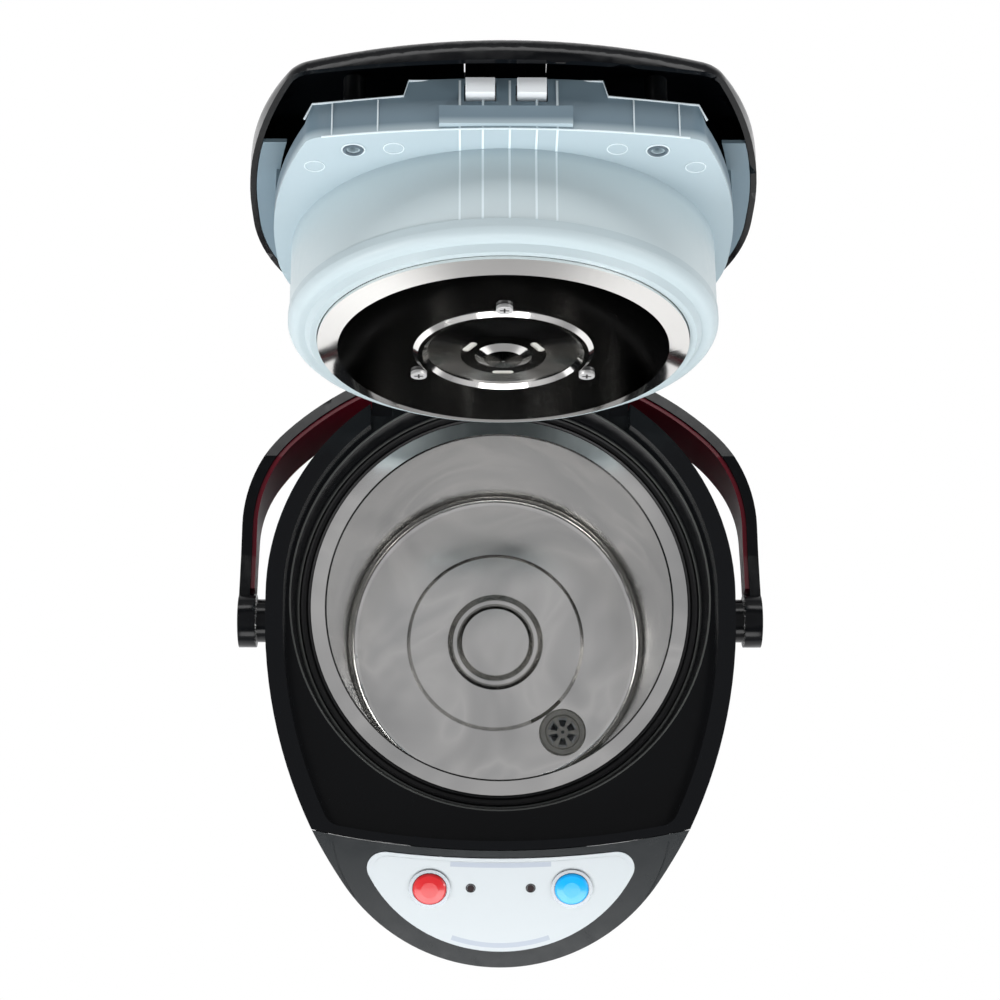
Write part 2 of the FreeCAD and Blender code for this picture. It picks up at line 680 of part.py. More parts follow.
def swept(name, spine_points, bend, radius, bore):
    """A round tube along straight runs with rounded bends."""
    spots = [Vector(*(number(v) for v in p)) for p in spine_points]
    edges = []
    start = spots[0]
    for before, corner, after in zip(spots, spots[1:], spots[2:]):
        into, out = (corner - before).normalize(), (after - corner).normalize()
        reach = number(bend) * math.tan(into.getAngle(out) / 2)
        a, c = corner - into * reach, corner + out * reach
        chord = (out - into).normalize()
        middle = corner + chord * (number(bend) / math.cos(into.getAngle(out) / 2) - number(bend))
        edges += [Part.makeLine(start, a), Part.Arc(a, middle, c).toShape()]
        start = c
    edges.append(Part.makeLine(start, spots[-1]))
    spine = Part.Wire(edges)
    first = (spots[1] - spots[0]).normalize()

    def pipe(r):
        return spine.makePipe(Part.Face(Part.Wire(Part.makeCircle(r, spots[0], first))))

    shape = pipe(number(radius))
    if bore is not None:
        shape = shape.cut(pipe(number(bore)))
    tube = doc.addObject("Part::Feature", name)
    tube.Shape = shape
    return tube


pump_out_x = "outlet_x - pump_r/2"
pump_out_y = "-outlet_y - pump_r*1.5"
node("riser_tube", swept("riser", [
    (pump_out_x, f"{pump_out_y} - fit_gap", "pump_z"), (pump_out_x, "-riser_y + 6", "pump_z"),
    ("0", "-riser_y", "pump_z + 26"), ("0", "-riser_y", "flange_z - 6")], "6", "tube_r", "tube_r - tube_t"))
node("spout_pipe", swept("spout", [
    ("0", "-riser_y", "flange_z - 5.7"), ("0", "-riser_y", "flange_z + spout_z"),
    ("0", "-spout_y", "flange_z + spout_z"), ("0", "-spout_y", "flange_z - chin_z - 4")], "8", "spout_r", "spout_r - 2"))


# Heater and electrics under the pot

under = f"({floor} - pot_t)"
node("heater_plate", cut("heater_plate_cut", rod("heater_disc", "XY", "0", "0", f"{under} - heater_t", "heater_r", "heater_t"),
                         rod("heater_middle", "XY", "0", "0", "pump_z", "11", "flange_z"),
                         rod("heater_outlet", "XY", "outlet_x", "-outlet_y", "pump_z", "filter_r + 2", "flange_z")))
arm = prism("clamp_arm", "XY", f"{under} - heater_t - 1.5", [rectangle("-62", "20", "4", "32")], "1.5")
arm_2 = prism("clamp_arm_2", "XY", f"{under} - heater_t - 1.5", [rectangle("-32", "-50", "-20", "32")], "1.5")
node("heater_clamp", fuse("heater_clamp_cross", arm, arm_2))
node("thermostat", fuse("thermostat_body", rod("thermostat_can", "XY", "0", "0", f"{under} - 6", "8", "6 + press_h*1.1"),
                        prism("thermostat_tabs", "XY", f"{under} - 6.8", [rectangle("-12", "-2", "12", "2")], "0.8")))
node("thermal_fuse", rod("fuse_body", "XZ", "-26", f"{under} - heater_t - 1.5 - 2.5", "-14", "2.5", "22"))
board = prism("board", "XY", "board_z", [rectangle("-board_w/2", "board_y - board_d/2", "board_w/2",
                                                   "board_y + board_d/2")], "board_t")
relay = prism("relay", "XY", "board_z + board_t", [rectangle("-22", "board_y - 14", "-4", "board_y + 6")], "14")
coil = prism("transformer", "XY", "board_z + board_t", [rectangle("2", "board_y - 16", "24", "board_y + 4")], "16")
can = rod("capacitor", "XY", "-14", "board_y + 14", "board_z + board_t", "5", "12")
node("power_board", fuse("power_board_parts", board, relay, coil, can))

inlet_body = prism("inlet_block", "XZ", "-shell_w - 2", [rectangle("-inlet_w/2", "inlet_z", "inlet_w/2", "inlet_z + inlet_h")], "inlet_d")
inlet_flange = prism("inlet_flange", "XZ", "-shell_w - 2.2", [rounded(
    "-inlet_w/2 - 4", "inlet_z - 4", "inlet_w/2 + 4", "inlet_z + inlet_h + 4", "3")], "2")
inlet_room = prism("inlet_room", "XZ", "-shell_w - 4", [rounded(
    "-inlet_w/2 + 3", "inlet_z + 3", "inlet_w/2 - 3", "inlet_z + inlet_h - 3", "4")], "inlet_d - 1")
inlet_pin_z = "inlet_z + inlet_h/2"
node("power_inlet", cut("power_inlet_cut", fuse("inlet_solid", inlet_body, inlet_flange), inlet_room,
                        *[rod(f"inlet_pin_bore_{i}", "XZ", x, inlet_pin_z, "-shell_w", "2", "inlet_d")
                          for i, x in enumerate(("-6", "6"))]))
node("inlet_pins", fuse("inlet_pin_group", *[rod(f"inlet_pin_{i}", "XZ", x, inlet_pin_z, "-shell_w + 3", "2", "inlet_d - 4")
                                             for i, x in enumerate(("-6", "6"))]))


# Collar

rim_y = "-arc_y"
rim_slope = "(rim_drop / (arc_y + body_w))"


def rim_height(y, above="0"):
    """Height of the sloping parting line between collar and lid."""
    return f"(flange_z + rim_z + {above} - ({y} + arc_y)*{rim_slope})"


def below_rim(name, above="0"):
    return prism(name, "YZ", "0", [[("-nose_l - 40", "0"), ("body_w + 60", "0"),
                                    ("body_w + 60", rim_height("body_w + 60", above)),
                                    ("-nose_l - 40", rim_height("-nose_l - 40", above))]], "4*body_w", middle=True)


def behind_arc(name, forward, z0, height):
    return prism(name, "XY", z0, [front_arc(forward)], height)


collar_low = prism("collar_low", "XY", "flange_z - skirt_z", [shell_outline("-proud")], "skirt_z")
collar_high = common("collar_high", prism("collar_plan", "XY", "flange_z - chin_z", [body_outline()], "chin_z + rim_z + 20"),
                     behind_arc("collar_front", "0", "flange_z - chin_z", "chin_z + rim_z + 20"), below_rim("rim_cut"))
mouth_tube = lathe("mouth_tube", [[("0", "flange_z - 7"), ("seat_r + wall + 1", "flange_z - 7"),
                                   ("seat_r + wall + 1", "flange_z + deck_z"), ("0", "flange_z + deck_z")]])
recess = rounded_edges("recess", common("recess_plan", prism(
    "recess_outline", "XY", "flange_z + deck_z", [body_outline("rim_w")], "rim_z"),
    behind_arc("recess_front", "-front_wall", "flange_z + deck_z", "rim_z")), "corner_r",
    lambda e: abs(e.tangentAt(e.FirstParameter).z) > 0.99 and e.BoundBox.YMax < -number("arc_y") + 26
    and abs(e.BoundBox.XMax) > 50)
low_room = cut("low_room", prism("low_room_plan", "XY", "flange_z - skirt_z", [shell_outline("wall - proud")],
                                 "skirt_z - wall"), mouth_tube)
high_room = cut("high_room", common("high_room_plan", prism("high_room_outline", "XY", "flange_z - chin_z + wall",
                                                            [body_outline("wall")], "chin_z + deck_z - 2*wall"),
                                    behind_arc("high_room_front", "-front_wall", "flange_z - chin_z + wall",
                                               "chin_z + deck_z - 2*wall")), mouth_tube)
mouth = lathe("mouth", [[("0", "flange_z - 9"), ("lip_r", "flange_z - 9"), ("lip_r", "flange_z - pot_t - gasket_t"),
                         ("seat_r", "flange_z - pot_t - gasket_t"), ("seat_r", "flange_z"),
                         ("mouth_r", "flange_z + deck_z"), ("mouth_r", "flange_z + deck_z + 1"),
                         ("0", "flange_z + deck_z + 1")]])
low_rabbet = prism("shell_rabbet", "XY", "flange_z - skirt_z", [shell_outline("-fit_gap")], "skirt_z/2 + fit_gap")
notch = prism("hinge_notch", "XY", "flange_z + deck_z - 1.5", [rectangle("-notch_w", "70", "notch_w", "body_w + 20")], "rim_z")
pivot_bosses = [rod(f"pivot_boss_{i}", "YZ", "-pivot_y", "flange_z + pivot_z", base, "pivot_boss_r", "9")
                for i, base in enumerate(("-body_w - 5.5", "body_w - 3.5"))]
pivot_bores = [rod(f"pivot_bore_{i}", "YZ", "-pivot_y", "flange_z + pivot_z", base, "pivot_r", "20")
               for i, base in enumerate(("-body_w - 10", "body_w - 10"))]
knuckles = []
for i, base in enumerate(("-notch_w", "notch_w - 9")):
    knuckles.append(rod(f"knuckle_{i}", "YZ", "hinge_y", "flange_z + hinge_z", base, "knuckle_r + 0.5", "9"))
    knuckles.append(prism(f"knuckle_foot_{i}", "YZ", base, [[
        ("hinge_y - 25", "flange_z + deck_z - 2.5"), ("hinge_y - 19", "flange_z + deck_z - 8"),
        ("hinge_y + 3", "flange_z + hinge_z - knuckle_r"), ("hinge_y - knuckle_r", "flange_z + hinge_z + 1")]], "9"))
latch_pocket = prism("latch_pocket", "XZ", "arc_y - front_wall - 1", [rectangle(
    "-17", "flange_z + rim_z - 10.6", "17", "flange_z + rim_z - 2")], "3")
spout_way = rod("spout_way", "XZ", "0", "flange_z + spout_z", "arc_y - 10", "spout_r + 0.5", "20")
riser_way = rod("riser_way", "XY", "0", "-riser_y", "flange_z - skirt_z", "spout_r + 0.5", "skirt_z + 12")
collar_solid = cut("collar_carved", fuse("collar_outer", collar_low, collar_high), recess, low_room, high_room, mouth,
                   low_rabbet, notch, latch_pocket, spout_way, riser_way)
collar = cut("collar_cut", fuse("collar_with_bosses", collar_solid, *pivot_bosses, *knuckles), *pivot_bores,
             rod("pin_bore", "YZ", "hinge_y", "flange_z + hinge_z", "-notch_w - 1", "hinge_pin_r", "2*notch_w + 2"))
node("collar", collar)
node("hinge_pin", rod("hinge_pin_rod", "YZ", "hinge_y", "flange_z + hinge_z", "-notch_w", "hinge_pin_r", "2*notch_w"))
handle_pivots = fuse("pivot_pins", *[rod(f"pivot_pin_{i}", "YZ", "-pivot_y", "flange_z + pivot_z", base, "pivot_r",
                                         "21.5") for i, base in enumerate(("-handle_w + 2", "handle_w - 23.5"))])
node("handle_pivots", handle_pivots)


# Nose with its control panel

fall = "tan(slope * 1 deg)"


def nose_side(name, inset):
    """Side view of the nose, as a prism across the pot; the room inside is open below and behind."""
    back = "-arc_y + 30"
    top = f"(flange_z + slope_z - ({inset})/cos(slope * 1 deg))"
    sink = f"({inset})*20"
    return prism(name, "YZ", "0", [[
        ("-nose_l - 14", f"flange_z - chin_z + chin_rise - {sink}"), ("-arc_y - 6", f"flange_z - chin_z - {sink}"),
        (back, f"flange_z - chin_z - {sink}"), (back, f"{top} + panel_rise"), (f"-arc_y + panel_rise/{fall}", f"{top} + panel_rise"),
        ("-nose_l - 14", f"{top} - (nose_l + 14 - arc_y)*{fall}")]], "4*body_w", middle=True)


def ahead_of_arc(name, forward, half="body_w + 20"):
    return prism(name, "XY", "flange_z - skirt_z*2", [front_arc(forward, half, behind=False)], "rim_z + skirt_z*3")


button_places = [("-button_x", "-button_v"), ("button_x", "-button_v")]
lamp_places = [("-lamp_x", "-button_v"), ("lamp_x", "-button_v")]

nose_shape = common("nose_outer", prism("nose_plan", "XY", "flange_z - skirt_z", [body_outline()], "rim_z + skirt_z*2"),
                    nose_side("nose_profile", "0"), ahead_of_arc("nose_rear", "fit_gap"))
nose_room = common("nose_room", prism("nose_room_plan", "XY", "flange_z - skirt_z*2", [body_outline("wall")],
                                      "rim_z + skirt_z*2"), nose_side("nose_room_profile", "wall"),
                   ahead_of_arc("nose_room_rear", "fit_gap - 1"))
collar_room = prism("collar_room", "XY", "flange_z - skirt_z*2", [shell_outline("-proud - fit_gap")],
                    "skirt_z*2 + fit_gap")
button_holes = prism("button_holes", "XY", "-6", [circle(x, y, "button_r + fit_gap") for x, y in button_places]
                     + [circle(x, y, "lamp_r + 0.1") for x, y in lamp_places], "12")
lay_on_slope(button_holes)
posts = prism("board_pegs", "XY", "-panel_depth", [circle(x, "-button_v", "2.5") for x in ("-46", "46")],
              "panel_depth - wall/2")
lay_on_slope(posts)
nose_cover = cut("nose_cover_cut", fuse("nose_with_pegs", cut("nose_hollow", nose_shape, nose_room, collar_room), posts),
                 button_holes)
node("nose_cover", nose_cover)

nose_base = cut("nose_base_cut", common(
    "nose_base_plate", prism("nose_base_plan", "XY", "flange_z - skirt_z*2", [body_outline("wall + fit_gap")],
                             "rim_z + skirt_z*2"),
    prism("nose_base_side", "YZ", "0", [[
        ("-nose_l - 14", "flange_z - chin_z + chin_rise"), ("-arc_y - 6", "flange_z - chin_z"),
        ("-arc_y + 30", "flange_z - chin_z"), ("-arc_y + 30", "flange_z - chin_z + wall"),
        ("-arc_y - 6", "flange_z - chin_z + wall"), ("-nose_l - 14", "flange_z - chin_z + chin_rise + wall")]],
          "4*body_w", middle=True), ahead_of_arc("nose_base_rear", "fit_gap*2")),
    collar_room, rod("spout_hole", "XY", "0", "-spout_y", "flange_z - skirt_z", "spout_r + fit_gap", "skirt_z + 10"))
node("nose_base", nose_base)

label_side_v = "(label_v1 - label_r - sqrt(label_r^2 - (label_x)^2))"
label_arc = [("-label_x", f"-label_v1 + label_r - sqrt(label_r^2 - label_x^2) "),
             ("label_x", "-label_v1 + label_r - sqrt(label_r^2 - label_x^2)", "label_r"),
             ("label_x", "-label_v0 + arc_r - sqrt(arc_r^2 - label_x^2)"),
             ("-label_x", "-label_v0 + arc_r - sqrt(arc_r^2 - label_x^2)", "arc_r", "right")]
label_plate = new_body("label_plate")
pad(label_plate, "sheet", "XY", "0", [label_arc] + [circle(x, y, "bezel_r + 0.1") for x, y in button_places]
    + [circle(x, y, "lamp_r + 0.1") for x, y in lamp_places], "label_t")
lay_on_slope(label_plate)
button_bezels = prism("bezel_rings", "XY", "0", [circle(x, y, "bezel_r") for x, y in button_places]
                      + [circle(x, y, "button_r + fit_gap") for x, y in button_places], "1.4")
node("button_bezels", button_bezels)
lay_on_slope(button_bezels)


def push_button(label, x):
    """A domed cap with a retaining flange under the cover and a stem to its switch."""
    button = new_body(label)
    turned(button, "cap", [[
        ("0", "-panel_depth + 5.6"), ("2", "-panel_depth + 5.6"), ("2", "-wall - 2"), ("button_r + 1.2", "-wall - 2"),
        ("button_r + 1.2", "-wall - 0.4"), ("button_r", "-wall - 0.4"), ("button_r", "1.8"),
        ("button_r - 0.8", "2.5"), ("button_r/2", "3"), ("0", "3")]])
    lay_on_slope(button)
    button.setExpression("Placement.Base.x", bound(x))
    shift = "button_v"
    button.setExpression("Placement.Base.y", bound(f"-arc_y - {shift}*cos(slope * 1 deg)"))
    button.setExpression("Placement.Base.z", bound(f"flange_z + slope_z - {shift}*sin(slope * 1 deg)"))
    return button


push_button("heat_button", "-button_x")
push_button("dispense_button", "button_x")
led_lenses = prism("lamp_lenses", "XY", "-wall", [circle(x, y, "lamp_r") for x, y in lamp_places], "wall + 0.9")
node("led_lenses", led_lenses)
lay_on_slope(led_lenses)
control_board = prism("control_sheet", "XY", "-panel_depth - board_t",
                      [rectangle("-52", "-button_v - 9", "52", "-button_v + 9")], "board_t")
node("control_board", control_board)
lay_on_slope(control_board)
tact_switches = prism("switch_cans", "XY", "-panel_depth", [rectangle(
    f"{x} - 3", f"{y} - 3", f"{x} + 3", f"{y} + 3") for x, y in button_places], "3.6")
node("tact_switches", tact_switches)
lay_on_slope(tact_switches)
lamps = prism("lamp_stems", "XY", "-panel_depth", [circle(x, y, "lamp_r - 0.1") for x, y in lamp_places],
              "panel_depth - wall")
node("indicator_lamps", lamps)
lay_on_slope(lamps)


# Handle, drawn level with its pivot line on Y = -pivot_y

def handle_plan(name, inset, half):
    """The handle's plan with its corner and back arcs, as a solid slab."""
    w, corner, back = f"(handle_w - ({inset}))", f"(handle_corner - ({inset}))", f"(handle_back - ({inset}))"
    corner_x, corner_y = "(handle_w - handle_corner)", "(handle_side - pivot_y)"
    reach = f"(handle_back - handle_corner)"
    back_y = f"({corner_y} - sqrt({reach}^2 - {corner_x}^2))"
    turn_x = f"({back}*{corner_x}/{reach})"
    turn_y = f"({back_y} + {back}*({corner_y} - {back_y})/{reach})"
    return prism(name, "XY", "flange_z + pivot_z", [[
        (f"-{w}", "-pivot_y"), (w, "-pivot_y"), (w, corner_y), (turn_x, turn_y, corner),
        (f"-{turn_x}", turn_y, back), (f"-{w}", corner_y, corner)]], half, middle=True)


def handle_width(name, trim):
    """Side view of the handle: slim arms that widen into the grip."""
    arm, grip, z = f"(8 - {trim})", f"(grip_w - {trim})", "(flange_z + pivot_z)"
    return prism(name, "YZ", "0", [[
        ("-pivot_y + 2", f"{z} - {arm}"), ("20", f"{z} - {arm}"), ("70", f"{z} - {grip}"),
        ("160", f"{z} - {grip}"), ("160", f"{z} + {grip}"), ("70", f"{z} + {grip}"), ("20", f"{z} + {arm}"),
        ("-pivot_y + 2", f"{z} + {arm}")]], "3*handle_w", middle=True)


band = common("handle_band", cut("handle_hoop", handle_plan("handle_outer", "0", "grip_w*2"),
                                 handle_plan("handle_inner", "handle_t - liner_t", "grip_w*3")),
              handle_width("handle_side_view", "0"))
hubs = [rod(f"handle_hub_{i}", "YZ", "-pivot_y", "flange_z + pivot_z", base, "hub_r", "handle_t + 1")
        for i, base in enumerate(("-handle_w", "handle_w - handle_t - 1"))]
hub_bores = [rod(f"handle_bore_{i}", "YZ", "-pivot_y", "flange_z + pivot_z", base, "pivot_r + turn_gap", "23.5")
             for i, base in enumerate(("-handle_w + 1.8", "handle_w - 25.3"))]
bail = cut("bail", fuse("bail_solid", band, *hubs), *hub_bores)
node("handle_bail", bail)
let_down(bail)
liner = common("liner", cut("liner_hoop", handle_plan("liner_outer", "handle_t - liner_t", "grip_w*2"),
                            handle_plan("liner_inner", "handle_t", "grip_w*3")),
               handle_width("liner_side_view", "1"),
               prism("liner_length", "XY", "flange_z", [rectangle("-handle_w", "hub_r - pivot_y + 1", "handle_w", "160")],
                     "3*grip_w + pivot_z"))
node("handle_liner", liner)
let_down(liner)


# Lid


def above_rim(name, gap, top="160"):
    """Everything above the sloping parting line."""
    return prism(name, "YZ", "0", [[("-nose_l - 40", rim_height("-nose_l - 40", gap)),
                                    ("body_w + 60", rim_height("body_w + 60", gap)),
                                    ("body_w + 60", f"flange_z + {top}"), ("-nose_l - 40", f"flange_z + {top}")]],
                 "4*body_w", middle=True)


def slab(name, inset, front, z0, z1, corner):
    """The lid's plan between two heights, with rounded front corners."""
    plan = common(name + "_plan", prism(name + "_sides", "XY", f"flange_z + {z0}", [body_outline(inset)], f"{z1} - ({z0})"),
                  behind_arc(name + "_front", front, f"flange_z + {z0}", f"{z1} - ({z0})"))
    return rounded_edges(name, plan, corner,
                         lambda e: abs(e.tangentAt(e.FirstParameter).z) > 0.99 and e.BoundBox.YMax < -number("inner_y") + 28
                         and max(abs(e.BoundBox.XMax), abs(e.BoundBox.XMin)) > 50)


def dome(name, inset):
    ball = doc.addObject("Part::Sphere", name)
    ball.setExpression("Radius", bound(f"crown_r - ({inset})"))
    ball.setExpression("Placement.Base.z", bound("flange_z + crown_z - crown_r"))
    doc.recompute()
    return ball


cover_block = common("cover_block", slab("cover_outer", "0", "cover_y - arc_y", "hinge_z", "crown_z + 2", "cover_corner_r"),
                     dome("cover_dome", "0"), above_rim("cover_above", "part_gap"))
top_edges = rounded_edges("cover_rounded", cover_block, "cover_edge_r", lambda e: any(
    "Sphere" in str(f.Surface) for f in cover_block.Shape.Faces if any(e.isSame(g) for g in f.Edges)))
cover_room = common("cover_room", slab("cover_inner", "cover_t", "cover_y - arc_y - cover_t", "hinge_z", "crown_z + 2",
                                       "cover_corner_r - cover_t"), dome("cover_inner_dome", "cover_t"))
hinge_apron = common("hinge_apron", prism("apron_outer", "XY", "flange_z + hinge_z + knuckle_r + 1.7", [body_outline()], "16"),
                     prism("apron_width", "XY", "flange_z", [rectangle("-notch_w + 0.6", "70", "notch_w - 0.6", "body_w + 9")],
                           "120"))
apron = cut("apron", hinge_apron, prism("apron_room", "XY", "flange_z", [body_outline("cover_t")], "120"))
lid_cover = cut("lid_cover_cut", fuse("lid_cover_solid", cut("cover_hollow", top_edges, cover_room), apron),
                rod("vent_hole", "XY", "0", "vent_y", "flange_z + hinge_z", "vent_r - 3", "80"),
                prism("key_hole", "XY", "flange_z + hinge_z", [rectangle(
                    "-16.5", "-key_y1 - 2.5", "16.5", "-key_y0 + 2.5")], "80"))
node("lid_cover", lid_cover)
swing_open(lid_cover)

# Translucent inner cover with its drum
inner_wall = cut("inner_wall", slab("inner_outer", "inner_in", "inner_y - arc_y", "hinge_z", "rim_z", "8"),
                 slab("inner_hollow", "inner_in + inner_t", "inner_y - arc_y - inner_t", "hinge_z + inner_t", "rim_z + 1", "7"))
steps = prism("front_steps", "XZ", "40", [[
    ("-38", "flange_z + rim_z + 2"), ("-40", "flange_z + rim_z - 7"), ("-76", "flange_z + rim_z - 7.5"),
    ("-79", "flange_z + rim_z - 14"), ("-body_w", "flange_z + rim_z - 14"), ("-body_w", "flange_z + rim_z + 2")]], "body_w")
steps_2 = prism("front_steps_2", "XZ", "40", [[
    ("38", "flange_z + rim_z + 2"), ("body_w", "flange_z + rim_z + 2"), ("body_w", "flange_z + rim_z - 14"),
    ("79", "flange_z + rim_z - 14"), ("76", "flange_z + rim_z - 7.5"), ("40", "flange_z + rim_z - 7")]], "body_w")
rim_flange = common("rim_flange", cut("flange_ring", prism("flange_plan", "XY", "flange_z + hinge_z", [
    body_outline("cover_t + fit_gap")], "rim_z"), prism("flange_hole", "XY", "flange_z", [body_outline("inner_in + inner_t")],
                                                      "160")),
    above_rim("flange_under", "part_gap"), below_rim("flange_over", "part_gap + 1.6"),
    prism("flange_rear", "XY", "flange_z", [rectangle("-body_w", "-60", "body_w", "body_w")], "160"))
drum = lathe("drum", [[("drum_r - inner_t", "flange_z + drum_z + inner_t"), ("drum_r - inner_t", "flange_z + hinge_z + inner_t"),
                       ("drum_r", "flange_z + hinge_z + inner_t"), ("drum_r", "flange_z + drum_z"),
                       ("0", "flange_z + drum_z"), ("0", "flange_z + drum_z + inner_t")]])
drum_opening = rod("drum_opening", "XY", "0", "0", "flange_z + drum_z + inner_t", "drum_r - inner_t", "hinge_z")
boss_angles = (-90, 30, 150)
screw_spots = [(f"screw_ring*cos({a} * 1 deg)", f"screw_ring*sin({a} * 1 deg)") for a in boss_angles]
plate_bosses = prism("plate_bosses", "XY", "flange_z - 4.4", [circle(x, y, "4") for x, y in screw_spots], "4.4 + drum_z + 0.5")
cover_screw_spots = [("-60", "-89"), ("60", "-89")]
cover_bosses = prism("cover_bosses", "XY", "flange_z + hinge_z", [circle(x, y, "4.5") for x, y in cover_screw_spots],
                     "rim_z + 9 - hinge_z")
windows = prism("hook_windows", "XZ", "inner_y - 6", [
    rectangle("hook_x0 - 0.5", "flange_z + hook_z0 - 0.5", "hook_x1 + 0.5", "flange_z + hook_z1 + 0.5"),
    rectangle("-hook_x1 - 0.5", "flange_z + hook_z0 - 0.5", "-hook_x0 + 0.5", "flange_z + hook_z1 + 0.5")], "8")
ribs = [prism(f"rib_{i}", "YZ", f"{x} - 0.6", [[
    ("-inner_y + 1", "flange_z + hinge_z + 1"), ("-drum_r + 3", "flange_z + hinge_z + 1"),
    ("-drum_r + 3", "flange_z + drum_z + 1"), ("-drum_r + 7", "flange_z + drum_z + 1"),
    ("-drum_r + 7", "flange_z + hook_z0 - 3"), ("-inner_y + 1", "flange_z + hook_z0 - 3")]], "1.2")
    for i, x in enumerate(("-18", "-9", "1.5", "12", "20"))]
guide = prism("latch_tab", "XY", "flange_z + hinge_z + 1", [rectangle("-26", "-inner_y - 2.4", "26", "-inner_y + 1")], "8")
lid_inner = cut("lid_inner_cut", fuse("lid_inner_solid", cut("inner_plate", cut("inner_stepped", inner_wall, steps, steps_2),
                                                             drum_opening),
                                      drum, rim_flange, plate_bosses, cover_bosses, guide, *ribs),
                windows, prism("arm_room", "XY", "flange_z", [rectangle("-arm_w - 0.5", "hinge_y - 11.7", "arm_w + 0.5",
                                                               "body_w")], "160"),
                prism("cover_screw_holes", "XY", "flange_z", [circle(x, y, "2.2") for x, y in cover_screw_spots], "72"),
                prism("plate_screw_holes", "XY", "flange_z - 20", [circle(x, y, "1.3") for x, y in screw_spots], "24"))
node("lid_inner", lid_inner)
swing_open(lid_inner)

drum_seal = new_body("drum_seal")
turned(drum_seal, "ring", [[
    ("plate_r + fit_gap", "flange_z - 2"), ("pot_r - 1", "flange_z - 2"), ("pot_r + 1", "flange_z + 0.6"),
    ("drum_r - 4", "flange_z + 0.8"), ("drum_r + 0.5", "flange_z + drum_z - 0.4", "5"), ("drum_r + 0.5", "flange_z + drum_z + 3"),
    ("drum_r + 0.05", "flange_z + drum_z + 3"), ("drum_r + 0.05", "flange_z + drum_z"), ("plate_r + fit_gap", "flange_z + drum_z")]])
swing_open(drum_seal)

lid_plate = new_body("lid_plate")
t = "pot_t"
turned(lid_plate, "sheet", [[
    ("0", "flange_z - 10.4"), ("8", "flange_z - 9.6"), ("12", "flange_z - 7.9"), ("18", "flange_z - 7.6"),
    ("ring_r - 5", "flange_z - 6"), ("ring_r - 3", "flange_z - 7.6"), ("ring_r - 1", "flange_z - 7.6"),
    ("ring_r + 1", "flange_z - 6"), ("flat_r", "flange_z - 6"), ("plate_r", "flange_z - 3.4"),
    ("plate_r", "flange_z + drum_z"), (f"plate_r - {t}", "flange_z + drum_z"), (f"plate_r - {t}", "flange_z - 2.8"),
    ("flat_r - 0.3", "flange_z - 5.2"), ("ring_r + 1.3", "flange_z - 5.2"), ("ring_r - 0.7", "flange_z - 6.8"),
    ("ring_r - 3.3", "flange_z - 6.8"), ("ring_r - 5.2", "flange_z - 5.2"), ("18", "flange_z - 6.8"),
    ("11.8", "flange_z - 7.1"), ("7.6", "flange_z - 8.8"), ("0", "flange_z - 9.6")]])
slot = pocket(lid_plate, "slot", "XY", "flange_z - 5", [rounded("-4.5", "14.8", "4.5", "17.8", "1.4")], "5")
around(lid_plate, slot, 3, "slots")
pocket(lid_plate, "screw_holes", "XY", "flange_z - 3", [circle(x, y, "1.9") for x, y in screw_spots], "6")
swing_open(lid_plate)


def pan_screws(label, spots, z, shank, length, head):
    """Pan-head screws that come from below; z is the underside of the head's seat."""
    group = fuse(label + "_group", *[fuse(
        f"{label}_{i}", rod(f"{label}_shank_{i}", "XY", x, y, z, shank, length),
        rod(f"{label}_head_{i}", "XY", x, y, f"{z} - 1.6", head, "1.6")) for i, (x, y) in enumerate(spots)])
    node(label, group)
    swing_open(group)
    return group


pan_screws("plate_screws", screw_spots, "flange_z - 6", "1.3", "9", "3.4")
pan_screws("cover_screws", cover_screw_spots, "flange_z + hinge_z + 4", "2.1", "20", "2.1")

pin_z = "(flange_z + hinge_z)"
arm_keepout = cut("arm_keepout", prism("arm_rear", "XY", "flange_z + hinge_z + knuckle_r + 1.2", [rectangle(
    "-arm_w - 5", "60", "arm_w + 5", "body_w + 5")], "40"),
    prism("arm_inside", "XY", "flange_z + hinge_z", [body_outline("cover_t + fit_gap")], "60"))
hinge_arm = cut("hinge_arm_cut", fuse("hinge_arm_solid", rod("hinge_barrel", "YZ", "hinge_y", "flange_z + hinge_z", "-arm_w",
                                                             "knuckle_r", "2*arm_w"),
                                      prism("hinge_web", "YZ", "-arm_w", [[
                                          ("hinge_y - 1", f"{pin_z} - knuckle_r + 0.6"), ("hinge_y + 1", f"{pin_z} + 5.6"),
                                          ("hinge_y - 5", f"{pin_z} + 5.6"), ("hinge_y - 7.4", f"{pin_z} + 8"),
                                          ("hinge_y - 7.4", "flange_z + rim_z + wall"),
                                          ("hinge_y - 30", "flange_z + rim_z + wall"), ("hinge_y - 30", "flange_z + rim_z"),
                                          ("hinge_y - 11.4", "flange_z + rim_z"), ("hinge_y - 11.4", f"{pin_z} - 2")]],
                                            "2*arm_w")),
                arm_keepout, rod("hinge_bore", "YZ", "hinge_y", "flange_z + hinge_z", "-arm_w - 1", "hinge_pin_r + turn_gap", "2*arm_w + 2"))
node("hinge_arm", hinge_arm)
swing_open(hinge_arm)

